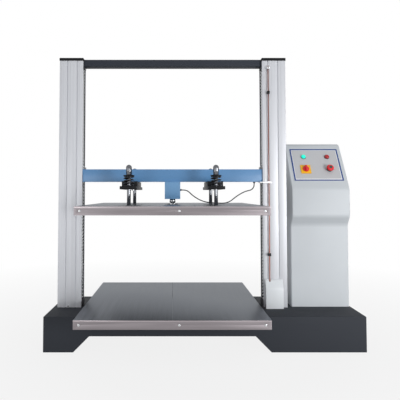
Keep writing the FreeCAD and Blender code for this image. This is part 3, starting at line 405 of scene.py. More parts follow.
def powder_coat(name, colour, rough=0.45, peel=3.0, mottle=200.0, specular=0.5):
    """Sprayed and baked powder: an orange peel, drawn coarser than its real 1 mm to show."""
    material, tree, shader, place = started(name)
    shader.inputs["IOR"].default_value = 1.5
    shader.inputs["Specular IOR Level"].default_value = specular
    cloud = grain(tree, place, (mottle, mottle, mottle), 2)
    shaded(tree, shader, cloud, colour, 0.985, 1.015)
    peeled = grain(tree, place, (peel, peel, peel), 2)
    tree.links.new(ramped(tree, peeled, rough - 0.05, rough + 0.06), shader.inputs["Roughness"])
    bumped(tree, shader, peeled, 0.08, 0.3 * MM)
    return material


def brushed(name, colour, lines, rough=0.35, depth=0.15, low=0.86, high=1.08, streaks=None,
            metal=1.0, rim="#ffffff"):
    """Metal with long fine lines from belt grinding or extrusion, along the largest size."""
    material, tree, shader, place = started(name)
    shader.inputs["Metallic"].default_value = metal
    shader.inputs["Specular Tint"].default_value = (*linear(rim), 1)
    fine = grain(tree, place, lines, 3)
    if streaks:
        broad = grain(tree, place, streaks, 2)
        fine = add(tree, "ShaderNodeMix", {"data_type": "FLOAT"},
                   {"A": fine, "B": broad}).outputs["Result"]
    shaded(tree, shader, fine, colour, low, high)
    tree.links.new(ramped(tree, fine, rough - 0.06, rough + 0.08), shader.inputs["Roughness"])
    bumped(tree, shader, fine, depth, 0.1 * MM)
    return material


def polished(name, colour, rough=0.09):
    """Bright plating or hard chrome: a mirror with faint smudges."""
    material, tree, shader, place = started(name)
    shader.inputs["Metallic"].default_value = 1.0
    smudge = grain(tree, place, (14, 14, 14), 3)
    shaded(tree, shader, smudge, colour, 0.95, 1.02)
    tree.links.new(ramped(tree, smudge, rough, rough + 0.08), shader.inputs["Roughness"])
    return material


def moulded(name, colour, rough=0.35, grit=1.5, depth=0.08, specular=0.5):
    """Injection moulded plastic with a fine spark texture."""
    material, tree, shader, place = started(name)
    shader.inputs["IOR"].default_value = 1.5
    shader.inputs["Specular IOR Level"].default_value = specular
    spots = grain(tree, place, (grit, grit, grit), 2)
    shaded(tree, shader, spots, colour, 0.95, 1.04)
    tree.links.new(ramped(tree, spots, rough - 0.04, rough + 0.05), shader.inputs["Roughness"])
    bumped(tree, shader, spots, depth, 0.1 * MM)
    return material


def lens(name, colour, glow):
    """Clear coloured acrylic over a lit or dark lamp, with a soft glow from inside."""
    material, tree, shader, place = started(name)
    shader.inputs["IOR"].default_value = 1.49
    ribs = grain(tree, place, (2.5, 2.5, 2.5), 1)
    shaded(tree, shader, ribs, colour, 0.85, 1.1)
    tree.links.new(ramped(tree, ribs, 0.12, 0.2), shader.inputs["Roughness"])
    shader.inputs["Coat Weight"].default_value = 0.2
    shader.inputs["Emission Color"].default_value = (*colour, 1)
    shader.inputs["Emission Strength"].default_value = glow
    return material


FINISHES = {}


def finish(name):
    """Each finish is made once and shared by the pieces that have it."""
    if name not in FINISHES:
        FINISHES[name] = MAKERS[name]()
    return FINISHES[name]


MAKERS = {
    "base_enamel": lambda: powder_coat("charcoal_powder_coat", colours().base, 0.7,
                                       specular=0.2),
    "column_anodised": lambda: brushed("anodised_extrusion", colours().column, (1.2, 1.2, 400),
                                       0.5, 0.05, 0.88, 1.08, (7, 7, 1500), metal=0.35),
    # The column liners' black is painted shade, standing in for the dark inside of the columns'
    # slots
    "liner_black": lambda: powder_coat("black_sheet_painted_slot_shade", linear("#111214"), 0.7, specular=0.1),
    "cap_black": lambda: moulded("black_abs_cap", linear("#121316"), 0.5, specular=0.15),
    "beam_enamel": lambda: powder_coat("dark_blue_grey_enamel", colours().top_beam, 0.65,
                                       specular=0.15),
    "crosshead_enamel": lambda: powder_coat("blue_gloss_enamel", colours().crosshead, 0.3, 4.0),
    # A lighter copy of the blue enamel for the housing: painted light, not a paler paint
    "housing_enamel_painted_lighter": lambda: powder_coat("blue_enamel_painted_lighter", colours().housing, 0.3, 4.0),
    "platen_steel": lambda: brushed("brushed_stainless", colours().platen, (260, 1.4, 1.4), 0.44,
                                    0.12, 0.8, 1.12, (420, 45, 45)),
    # Paler steel for the band under the platens' top edge: a painted highlight
    "platen_edge_highlight": lambda: brushed("stainless_painted_edge_highlight", colours().platen_edge_highlight, (260, 1.4, 1.4),
                                  0.3, 0.08, 0.92, 1.08),
    "platen_face": lambda: brushed("belt_ground_stainless", colours().platen_top, (1.4, 260, 1.4),
                                   0.36, 0.12, 0.72, 1.26, (24, 500, 24), rim="#d8dbdf"),
    "core_aluminium": lambda: brushed("milled_aluminium", linear("#7c7e82"), (1.5, 90, 1.5), 0.4,
                                      rim="#a4a7ab"),
    "ground_steel": lambda: brushed("ground_screw_steel", linear("#b9bbbd"), (1, 1, 1.2), 0.22,
                                    0.05, 0.92, 1.05),
    "machined_steel": lambda: brushed("milled_steel", linear("#6d6f73"), (40, 1.2, 1.2), 0.38),
    # Darkened chrome for the rods and cap nuts: its dark body is a painted reflection of dark
    # surroundings, while the lamps' highlights stay bright
    "chrome": lambda: polished("chrome_darkened_painted_reflection", linear("#6a6c70"), 0.06),
    "bright_chrome": lambda: polished("hard_chrome", linear("#c3c5c8"), 0.06),
    "bright_zinc": lambda: polished("bright_zinc_plate", linear("#c9cbcd"), 0.2),
    "bracket_oxide": lambda: powder_coat("black_oxide_steel", colours().bracket, 0.5, 2.0,
                                         specular=0.2),
    "spring_steel": lambda: brushed("oiled_spring_wire", linear("#3a3b3f"), (3, 3, 3), 0.3, 0.05),
    "bronze": lambda: brushed("turned_bronze", linear("#a8834a"), (2, 2, 0.8), 0.3),
    "pulley_aluminium": lambda: brushed("turned_aluminium", linear("#b4b6ba"), (2, 2, 0.8), 0.32),
    "belt_rubber": lambda: moulded("neoprene_belt", linear("#151516"), 0.7, 2.5, 0.2),
    "motor_enamel": lambda: powder_coat("black_motor_enamel", linear("#1a1b1d"), 0.45),
    "finger_steel": lambda: brushed("zinc_plated_plate", linear("#e6e7e9"), (30, 1.2, 1.2), 0.4),
    "rod_lacquer": lambda: brushed("copper_washed_rod", colours().limit_rod, (2, 2, 60), 0.32,
                                   0.05),
    "black_plastic": lambda: moulded("black_nylon", linear("#17181a"), 0.42),
    "cover_coat": lambda: powder_coat("pale_cover_coat", linear("#dbdfe2"), 0.42),
    "console_coat": lambda: powder_coat("pale_console_coat", colours().console, 0.45, 2.5,
                                        specular=0.35),
    "panel_film": lambda: moulded("grey_panel_film", colours().panel, 0.45, 1.0, 0.05),
    "panel_edge": lambda: moulded("white_panel_margin", linear("#e9eaec"), 0.45, 1.0, 0.05),
    "panel_border": lambda: moulded("printed_blue_line", colours().border, 0.4, 1.0, 0.03),
    "lamp_green": lambda: lens("green_acrylic_lens", colours().green, 0.55),
    "lamp_red": lambda: lens("red_acrylic_lens", colours().red, 0.0),
    "isolator_yellow": lambda: moulded("yellow_nylon", colours().plate, 0.4),
    "isolator_red": lambda: moulded("red_nylon", colours().stop, 0.3),
    "dark_bezel": lambda: moulded("dark_bezel_ring", linear("#2a2c2f"), 0.3),
    "stop_centre": lambda: moulded("dark_green_insert", linear("#0b4a42"), 0.3),
    "cable_sheath": lambda: moulded("grey_pvc_sheath", linear("#3b3c3e"), 0.5, 1.2, 0.1),
}

# CAD nodes that stay as they are and only get a finish
PLAIN = {
    # The columns' liners are black sheet that stands in for the shade inside the slots
    "column_liners": "liner_black", "guide_rods": "ground_steel",
    "bearing_blocks": "machined_steel", "screw_bearings": "ground_steel",
    "screw_belt": "belt_rubber", "drive_belt": "belt_rubber",
    "servo_motor": "motor_enamel", "motor_shaft": "ground_steel", "servo_drive": "motor_enamel",
    "left_screw_pulley": "pulley_aluminium", "right_screw_pulley": "pulley_aluminium",
    "drive_pulley": "pulley_aluminium", "lower_platen_core": "core_aluminium",
    "upper_platen_core": "platen_face", "crosshead_blocks": "machined_steel",
    "load_cell": "ground_steel", "limit_switches": "black_plastic", "guide_bushings": "bronze",
}


# Fasteners --------------------------------------------------------------------------------

def cap_screw(name, spot, way, radius=5 * MM, height=5 * MM):
    """A socket head screw standing on spot, with a round socket sunk in its head."""
    head = turned(name, [(0, 0), (radius, 0), (radius, height * 0.86), (radius * 0.9, height),
                         (radius * 0.5, height)], steps=24)
    choose(head, "EDGE", lambda middle, way: abs(middle.z - height) < 1e-6
           and middle.xy.length < radius * 0.6)
    bpy.ops.mesh.extrude_region_move(TRANSFORM_OT_translate={"value": (0, 0, -height * 0.6)})
    bpy.ops.mesh.edge_face_add()
    bpy.ops.mesh.select_all(action="SELECT")
    bpy.ops.mesh.normals_make_consistent(inside=False)
    done()
    return aimed(head, spot, way)


def screws(name, spots, body, radius=5 * MM, height=5 * MM, replaces=()):
    """A group of like zinc plated screws, one for each place and direction."""
    heads = [cap_screw(name, spot, way, radius, height) for spot, way in spots]
    return finished(joined(name, heads), body, "bright_zinc", replaces)


# Operators --------------------------------------------------------------------------------

class TESTER_OT_base(bpy.types.Operator):
    """Weld the pedestals, bridge and top plate into one coated base"""
    bl_idname = "tester.base"
    bl_label = "Base"

    def execute(self, context):
        left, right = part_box("left_pedestal"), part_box("right_pedestal")
        bridge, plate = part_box("bridge_beam"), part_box("base_top_plate")
        body = block("welded_base", plate[0].xy.to_3d(), plate[1])
        rise = bridge[0].z
        arch = block("arch", (bridge[0].x, left[0].y - rise, -rise),
                     (bridge[1].x, right[1].y + rise, rise))
        width, centre = bridge[1].x - bridge[0].x, (bridge[0] + bridge[1]) / 2
        # The arch's sides slope at 45 degrees: 2 * rise out on each side over a fall of 2 * rise
        choose(arch, "FACE", lambda middle, way: way.z < -0.9)
        bpy.ops.transform.resize(value=((width + 4 * rise) / width, 1, 1), center_override=centre)
        done()
        carved(body, arch)
        bevelled(body, sizes().sheet_edge, 3)
        finished(body, "base", "base_enamel",
                 ("left_pedestal", "right_pedestal", "bridge_beam", "base_top_plate"))
        return {"FINISHED"}


class TESTER_OT_columns(bpy.types.Operator):
    """Finish the columns, their caps and the top beam"""
    bl_idname = "tester.columns"
    bl_label = "Columns"

    screw_offset = 78 * MM  # from the column's open side
    screw_rise = 8 * MM

    def execute(self, context):
        edge = sizes().edge
        for node in ("left_column", "right_column"):
            dressed(node, "column_anodised", edge)
        dressed("column_caps", "cap_black", edge)
        dressed("top_beam", "beam_enamel", 2 * edge)
        spots = []
        for node in ("left_column", "right_column"):
            low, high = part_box(node)
            inner = low.x if low.x > 0 else high.x
            for side, y in ((-1, low.y), (1, high.y)):
                across = inner + math.copysign(self.screw_offset, low.x)
                spots.append(((across, y, low.z + self.screw_rise), (0, side, 0)))
        screws("column_foot_screws", spots, "base", height=4 * MM)
        return {"FINISHED"}


class TESTER_OT_ball_screws(bpy.types.Operator):
    """Cut the ball screws' helical groove between their journals"""
    bl_idname = "tester.ball_screws"
    bl_label = "Ball screws"

    plain_end = 46 * MM  # each end's length without a thread
    journal, tip = 10 * MM, 9 * MM  # radii of the journal and of its chamfered end

    def execute(self, context):
        lead, groove, journal, tip = sizes().lead, sizes().groove, self.journal, self.tip
        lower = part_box("bearing_blocks")[0].z + self.plain_end
        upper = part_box("bearing_blocks")[1].z - self.plain_end
        for side in ("left", "right"):
            node = side + "_ball_screw"
            low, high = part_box(node)
            centre = (low + high) / 2
            radius = (high.x - low.x) / 2
            turns = math.ceil((upper - lower) / lead) + 2
            # Radius against the share of one lead: the land, then the ball groove's arch
            groove_line = [(radius, 0.0), (radius, 0.42), (radius - 0.55 * groove, 0.5),
                           (radius - groove, 0.62), (radius - groove, 0.8),
                           (radius - 0.55 * groove, 0.92), (radius, 1.0)]
            shank = outlined("threaded_" + node, [(across, lower - lead + share * lead)
                                                  for across, share in groove_line])
            pick(shank)
            bpy.ops.object.modifier_add(type="SCREW")
            winding = shank.modifiers[-1]
            winding.screw_offset = lead
            winding.steps = 20
            winding.render_steps = 20
            winding.iterations = turns
            winding.use_merge_vertices = True
            winding.merge_threshold = 0.02 * MM
            bpy.ops.object.modifier_apply(modifier=winding.name)
            for place, outward in ((lower, -1), (upper, 1)):
                edit(shank)
                bpy.ops.mesh.remove_doubles(threshold=0.02 * MM)
                bpy.ops.mesh.bisect(plane_co=(0, 0, place), plane_no=(0, 0, outward),
                                    clear_outer=True, use_fill=True)
                done()
            edit(shank)
            bpy.ops.mesh.normals_make_consistent(inside=False)
            done()
            shank.location = (centre.x, centre.y, 0)
            settle(shank)
            spot = (centre.x, centre.y, 0)
            journals = [turned("journal", [(0, low.z), (tip, low.z), (journal, low.z + MM),
                                           (journal, lower), (0, lower)], spot, steps=32),
                        turned("journal", [(0, upper), (journal, upper), (journal, high.z - MM),
                                           (tip, high.z), (0, high.z)], spot, steps=32)]
            piece = joined("threaded_" + node, [*journals, shank])
            stand_in(piece, node, "ground_steel", 40)
        return {"FINISHED"}


class TESTER_OT_crosshead(bpy.types.Operator):
    """Finish the crosshead beam, its nuts and the load cell housing"""
    bl_idname = "tester.crosshead"
    bl_label = "Crosshead"

    bolt_circle = 28 * MM  # radius of the nut flange's ring of screws
    seam_drop, seam_width, seam_depth = 6 * MM, 1.2 * MM, 0.8 * MM  # below the housing's top

    def execute(self, context):
        edge = sizes().edge
        dressed("crosshead_beam", "crosshead_enamel", 2.5 * edge, 3)
        dressed("ball_nuts", "machined_steel", edge)
        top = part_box("ball_nuts")[1].z
        spots = []
        for node in ("left_ball_screw", "right_ball_screw"):
            low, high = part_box(node)
            centre = (low + high) / 2
            for turn in range(4):
                angle = math.radians(45 + 90 * turn)
                spots.append(((centre.x + self.bolt_circle * math.cos(angle),
                               centre.y + self.bolt_circle * math.sin(angle), top), (0, 0, 1)))
        screws("nut_flange_screws", spots, "crosshead", 4 * MM, 4 * MM)
        housing_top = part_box("load_cell_housing")[1].z
        # The housing gets the lighter copy of the blue enamel, which is painted light
        dressed("load_cell_housing", "housing_enamel_painted_lighter", 1.5 * edge, 2,
                shape=lambda obj: scored(obj, 2, housing_top - self.seam_drop,
                                         self.seam_width, self.seam_depth))
        dressed("pressure_ball", "bright_chrome", flat=0.1, angle=40)
        dressed("ball_seat", "bright_chrome", flat=0.1, angle=40)
        return {"FINISHED"}


class TESTER_OT_suspension(bpy.types.Operator):
    """Wind the springs and finish the brackets, hangers, washers and cap nuts"""
    bl_idname = "tester.suspension"
    bl_label = "Suspension"

    screw_inset = 47.5 * MM  # from the bracket plates' outer sides to their row of screws
    screw_rows = (-120 * MM, -60 * MM, 60 * MM, 120 * MM)
    coil_radius = 27.5 * MM
    coil_points = 16  # in one turn
    closed = 0.75  # turns that lie flat at each end of a spring

    def execute(self, context):
        edge = sizes().edge
        dressed("bracket_blocks", "bracket_oxide", 1.5 * edge)
        dressed("bracket_plates", "bracket_oxide", 1.5 * edge)
        # The rods and cap nuts take the darkened chrome, whose dark body is a painted reflection of
        # dark surroundings
        dressed("suspension_rods", "chrome", edge, angle=40)
        dressed("spring_washers", "bracket_oxide", edge, angle=40)
        dressed("cap_nuts", "chrome", edge, flat=0.2, angle=40)
        self.springs()
        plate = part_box("bracket_plates")
        spots = [((x, along, plate[0].z), (0, 0, -1))
                 for x in (plate[0].x + self.screw_inset, plate[1].x - self.screw_inset)
                 for along in self.screw_rows]
        screws("bracket_screws", spots, "crosshead")
        return {"FINISHED"}

    def springs(self):
        wire, turns = sizes().wire, sizes().turns
        low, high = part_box("suspension_springs")
        centre = (low + high) / 2
        coil_radius, closed = self.coil_radius, self.closed
        x = (high.x - low.x) / 2 - coil_radius - wire
        y = (high.y - low.y) / 2 - coil_radius - wire
        length = high.z - low.z
        coils = []
        for side_x in (-1, 1):
            for side_y in (-1, 1):
                bpy.ops.curve.primitive_nurbs_path_add()
                path = named("spring_wire")
                spline = path.data.splines[0]
                count = turns * self.coil_points + 1
                spline.points.add(count - len(spline.points))
                for index, point in enumerate(spline.points):
                    share = index / (count - 1)
                    turn = 2 * math.pi * turns * share
                    eased = min(max((share * turns - closed) / (turns - 2 * closed), 0), 1)
                    rise = wire + eased * (length - 2 * wire)
                    point.co = (coil_radius * math.cos(turn), coil_radius * math.sin(turn), rise, 1)
                spline.order_u = 4
                spline.use_endpoint_u = True
                spline.resolution_u = 2
                path.data.bevel_depth = wire
                path.data.bevel_resolution = 3
                path.data.use_fill_caps = True
                path.location = (centre.x + side_x * x, centre.y + side_y * y, low.z)
                pick(path)
                bpy.ops.object.convert(target="MESH")
                coils.append(settle(bpy.context.object))
        piece = joined("wound_springs", coils)
        stand_in(piece, "suspension_springs", "spring_steel", 60)
        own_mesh(piece)


class TESTER_OT_platens(bpy.types.Operator):
    """Brush the platens' skins and fit their edge screws"""
    bl_idname = "tester.platens"
    bl_label = "Platens"

    rim = 6 * MM  # height of the paler band under the bent edge: a painted highlight
    screw_inset, screw_shift = 30 * MM, 35 * MM  # end screws, and the middle one off centre

    def execute(self, context):
        for place in ("lower", "upper"):
            skin = place + "_platen_skin"
            low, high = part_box(skin)
            rim = self.rim
            piece = dressed(skin, "platen_steel", 1.8 * MM, 3, shape=self.round_corners)
            sliced(piece, 2, high.z - rim)
            if place == "lower":
                # The scribed centre line, a little wider than a scriber's to show
                scored(piece, 0, (low.x + high.x) / 2, 1.4 * MM, 0.7 * MM,
                       lambda middle, way: middle.z > high.z - 0.1 * MM and way.z > 0.9)
            # The band under the top edge gets the paler steel, a painted highlight along the bend
            self.painted(piece, "platen_edge_highlight", lambda middle, way: middle.z > high.z - rim)
            self.painted(piece, "platen_face", lambda middle, way: abs(way.z) > 0.9)
            middle = (low.z + high.z) / 2
            centre = (low + high) / 2
            spots = []
            for along in (low.x - centre.x + self.screw_inset, self.screw_shift,
                          high.x - centre.x - self.screw_inset):
                for side in (-1, 1):
                    spots.append(((centre.x + along, low.y if side < 0 else high.y, middle),
                                  (0, side, 0)))
                    spots.append(((low.x if side < 0 else high.x, along, middle), (side, 0, 0)))
            screws(place + "_edge_screws", spots, BODY_OF[skin], 6 * MM, 2.5 * MM,
                   (place + "_platen_screws",))
        return {"FINISHED"}

    @staticmethod
    def painted(obj, name, test):
        """Give the faces that pass the test a finish of their own."""
        obj.data.materials.append(finish(name))
        choose(obj, "FACE", test)
        obj.active_material_index = len(obj.data.materials) - 1
        bpy.ops.object.material_slot_assign()
        done()

    @staticmethod
    def round_corners(obj):
        """Round the skin's four upright outer corners."""
        low = Vector([min(vertex.co[axis] for vertex in obj.data.vertices) for axis in range(3)])
        high = Vector([max(vertex.co[axis] for vertex in obj.data.vertices) for axis in range(3)])
        choose(obj, "EDGE", lambda middle, way: abs(way.z) > 0.99
               and min(abs(middle.x - low.x), abs(middle.x - high.x)) < 0.1 * MM
               and min(abs(middle.y - low.y), abs(middle.y - high.y)) < 0.1 * MM)
        bpy.ops.mesh.bevel(offset=2 * MM, segments=3)
        done()


class TESTER_OT_limit_gear(bpy.types.Operator):
    """Finish the limit rod, its stops, guide, finger and foot cover"""
    bl_idname = "tester.limit_gear"
    bl_label = "Limit gear"

    def execute(self, context):
        edge = sizes().edge
        dressed("limit_rod", "rod_lacquer", angle=40)
        for node in ("upper_limit_stop", "lower_limit_stop"):
            dressed(node, "black_plastic", edge / 2)
            low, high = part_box(node)
            middle = (low + high) / 2
            knob = turned("knob", in_mm((0, 0), (6, 0), (7, 1), (7, 5), (6, 6), (0, 6)),
                          (middle.x, low.y + 6 * MM, middle.z), (0, -1, 0), 18)
            finished(knob, BODY_OF[node], "black_plastic")
            knob.name = node + "_knob"
        dressed("limit_rod_guide", "finger_steel", edge / 2)
        dressed("trip_finger", "finger_steel", edge / 2)
        dressed("foot_cover", "cover_coat", edge / 2)
        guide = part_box("limit_rod_guide")
        screws("guide_screw", [(((guide[0].x + guide[1].x) / 2, guide[0].y,
                                 (guide[0].z + guide[1].z) / 2), (0, -1, 0))],
               "base", 5.5 * MM, 4 * MM)
        return {"FINISHED"}


class TESTER_OT_cable(bpy.types.Operator):
    """Hang the load cell's cable between its two glands"""
    bl_idname = "tester.cable"
    bl_label = "Load cell cable"

    # Control points in millimetres, from the housing's gland to the one under the beam
    route = [(-125, -30, 901), (-103, -30, 901), (-82.7, -30, 892.6), (-52, -30, 862),
             (6, -28, 829), (82, -12, 821), (160, -18, 820), (212, -18, 864),
             (264.6, -18, 893.5), (298.1, -18, 899.4), (312.1, -18, 909.9), (320, -18, 925.5),
             (320, -18, 943)]
    radius = 3.2 * MM

    def execute(self, context):
        bpy.ops.curve.primitive_nurbs_path_add()
        cable = named("hanging_cable")
        spline = cable.data.splines[0]
        spline.points.add(len(self.route) - len(spline.points))
        for point, place in zip(spline.points, self.route):
            point.co = (*(value * MM for value in place), 1)
        spline.order_u = 3
        spline.use_endpoint_u = True
        cable.location = (0, 0, 0)
        cable.data.bevel_depth = self.radius
        cable.data.bevel_resolution = 4
        cable.data.use_fill_caps = True
        cable.data.resolution_u = 8
        cable.data.materials.append(finish("cable_sheath"))
        start, end = Vector(self.route[0]) * MM, Vector(self.route[-1]) * MM
        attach(cable, "crosshead")
        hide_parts("load_cell_cable")
        glands = []
        for spot, way in ((start, (-1, 0, 0)), (end, (0, 0, 1))):
            glands.append(turned("gland", in_mm((3.2, 0), (5, 0), (6.4, 1.5), (6.4, 4), (7, 4.2),
                                                (7, 8), (3.2, 8)), spot, way, 6))
        piece = joined("gland_nuts", glands)
        stand_in(piece, "cable_glands", "black_plastic")
        return {"FINISHED"}


class TESTER_OT_console(bpy.types.Operator):
    """Finish the console's bent housing and its back door"""
    bl_idname = "tester.console"
    bl_label = "Console"

    inset_x, inset_z = 12 * MM, 20 * MM  # the door screws' distance from its edges

    def execute(self, context):
        dressed("console_housing", "console_coat", flat=0.2, angle=25)
        dressed("console_back_door", "console_coat", sizes().edge / 2)
        low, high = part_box("console_back_door")
        spots = [((x, high.y, z), (0, 1, 0))
                 for x in (low.x + self.inset_x, high.x - self.inset_x)
                 for z in (low.z + self.inset_z, (low.z + high.z) / 2, high.z - self.inset_z)]
        screws("door_screws", spots, "base", 4.5 * MM, 3 * MM)
        return {"FINISHED"}


# Controls: drawn flat, with x across, y into the panel and z up the slope, then laid on it
PANEL_WIDE, PANEL_TALL, PANEL_SHEET = 302 * MM, 242 * MM, 2 * MM
CONTROL_SHIFT, CONTROL_SPREAD = 3 * MM, 73.5 * MM
LAMP_RISE, SWITCH_RISE = 179 * MM, 84 * MM


def panel_frame():
    """Middle of the panel's lower front edge and the angle that it leans back."""
    low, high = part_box("control_panel")
    deep, tall = high.y - low.y, high.z - low.z
    rough = math.atan2(deep, tall)
    lean = math.atan2(deep - PANEL_SHEET * math.cos(rough), tall - PANEL_SHEET * math.sin(rough))
    return Vector(((low.x + high.x) / 2, low.y, low.z + PANEL_SHEET * math.sin(lean))), lean


def laid(obj):
    """Turn a flat drawn piece back to the panel's slope and set it on the panel."""
    corner, lean = panel_frame()
    obj.rotation_euler = (-lean, 0, 0)
    obj.location = corner
    return settle(obj)


def flat_frame(name, width, height, line, low, high):
    """A rectangular ring of flat bar, standing on the lower edge of the panel."""
    ring = block(name, (-width / 2, low, (PANEL_TALL - height) / 2),
                 (width / 2, high, (PANEL_TALL + height) / 2))
    choose(ring, "FACE", lambda middle, way: abs(way.y) > 0.9)
    bpy.ops.mesh.inset(thickness=line, use_individual=True)
    bpy.ops.mesh.bridge_edge_loops()
    done()
    return ring


class TESTER_OT_controls(bpy.types.Operator):
    """Build the control panel's film, border, lamps, isolator and stop button"""
    bl_idname = "tester.controls"
    bl_label = "Controls"

    def execute(self, context):
        self.panel()
        self.lamps()
        self.isolator()
        self.stop_button()
        return {"FINISHED"}

    def panel(self):
        sheet = block("panel_sheet", (-PANEL_WIDE / 2, 0, 0),
                      (PANEL_WIDE / 2, PANEL_SHEET, PANEL_TALL))
        bevelled(sheet, 0.5 * MM)
        stand_in(laid(sheet), "control_panel", "panel_edge")
        line = sizes().border
        border = flat_frame("panel_border", PANEL_WIDE - MM, PANEL_TALL - MM, line,
                            -0.3 * MM, 0.2 * MM)
        finished(laid(border), "base", "panel_border")
        inset = line + 4 * MM
        film = block("panel_film", (inset - PANEL_WIDE / 2, -0.25 * MM, inset + 3 * MM),
                     (PANEL_WIDE / 2 - inset, 0.2 * MM, PANEL_TALL - inset))
        finished(laid(film), "base", "panel_film")

    def lamps(self):
        for node, side, name in (("green_lamp", -1, "lamp_green"), ("red_lamp", 1, "lamp_red")):
            spot = (CONTROL_SHIFT + side * CONTROL_SPREAD, 0, LAMP_RISE)
            ring = turned(node + "_bezel", in_mm((14.1, 0), (16, 0), (16, 2.6), (15, 4),
                                                 (14.4, 4), (14.1, 3.4), (14.1, 0)),
                          spot, (0, -1, 0), 48)
            finished(laid(ring), "base", "dark_bezel")
            dome = turned(node + "_lens", in_mm((0, 0), (14, 0), (14, 6.5), (13, 9.5), (10.6, 12.2),
                                                (7.2, 14.1), (3.6, 14.9), (0, 15)),
                          spot, (0, -1, 0), 48)
            stand_in(laid(dome), node, name, 50)

    def isolator(self):
        x = CONTROL_SHIFT - CONTROL_SPREAD
        half = 31 * MM
        plate = block("isolator_base", (x - half, -5 * MM, SWITCH_RISE - half),
                      (x + half, 0, SWITCH_RISE + half))
        choose(plate, "EDGE", lambda middle, way: abs(way.y) > 0.9)
        bpy.ops.mesh.bevel(offset=4 * MM, segments=4)
        done()
        bevelled(plate, 0.8 * MM)
        stand_in(laid(plate), "isolator_plate", "isolator_yellow")
        disc = turned("isolator_knob",
                      in_mm((0, 0), (19.5, 0), (20, 1), (19, 6.5), (17, 8), (0, 8)),
                      (x, -5.4 * MM, SWITCH_RISE), (0, -1, 0), 48)
        grip = block("grip", (x - 6.5 * MM, -25.4 * MM, SWITCH_RISE - 21 * MM),
                     (x + 6.5 * MM, -12 * MM, SWITCH_RISE + 21 * MM))
        choose(grip, "FACE", lambda middle, way: way.y < -0.9)
        bpy.ops.transform.resize(value=(0.72, 1, 0.86), center_override=(x, 0, SWITCH_RISE))
        done()
        bevelled(grip, 2 * MM, 3)
        handle = joined("isolator_rotary", [grip, disc])
        stand_in(laid(handle), "isolator_handle", "isolator_red")

    def stop_button(self):
        spot = (CONTROL_SHIFT + CONTROL_SPREAD, 0, SWITCH_RISE)
        collar = turned("stop_collar", in_mm((12.4, 0), (17, 0), (17, 3), (15.5, 7), (14, 7),
                                             (12.4, 6), (12.4, 0)), spot, (0, -1, 0), 40)
        stand_in(laid(collar), "stop_button_collar", "stop_centre")
        head = turned("stop_mushroom", in_mm((0, 7), (12, 7), (12, 14), (20, 14.4), (22, 16.5),
                                             (22, 20), (20.6, 24.5), (17, 27.4), (13, 29),
                                             (10.8, 29.4), (10.2, 28.2), (0, 28.2)),
                      spot, (0, -1, 0), 56)
        stand_in(laid(head), "stop_button", "isolator_red", 45)
        insert = turned("stop_insert", in_mm((0, 28.1), (9.8, 28.1), (9.4, 29.2), (0, 30)),
                        spot, (0, -1, 0), 32)
        finished(laid(insert), "stop_button", "stop_centre")


class TESTER_OT_hidden_gear(bpy.types.Operator):
    """Give the pieces inside the base, columns and console their finishes"""
    bl_idname = "tester.hidden_gear"
    bl_label = "Hidden gear"

    def execute(self, context):
        for node, name in PLAIN.items():
            obj = frame["nodes"][node]
            obj.data.materials.clear()
            obj.data.materials.append(finish(name))
        return {"FINISHED"}


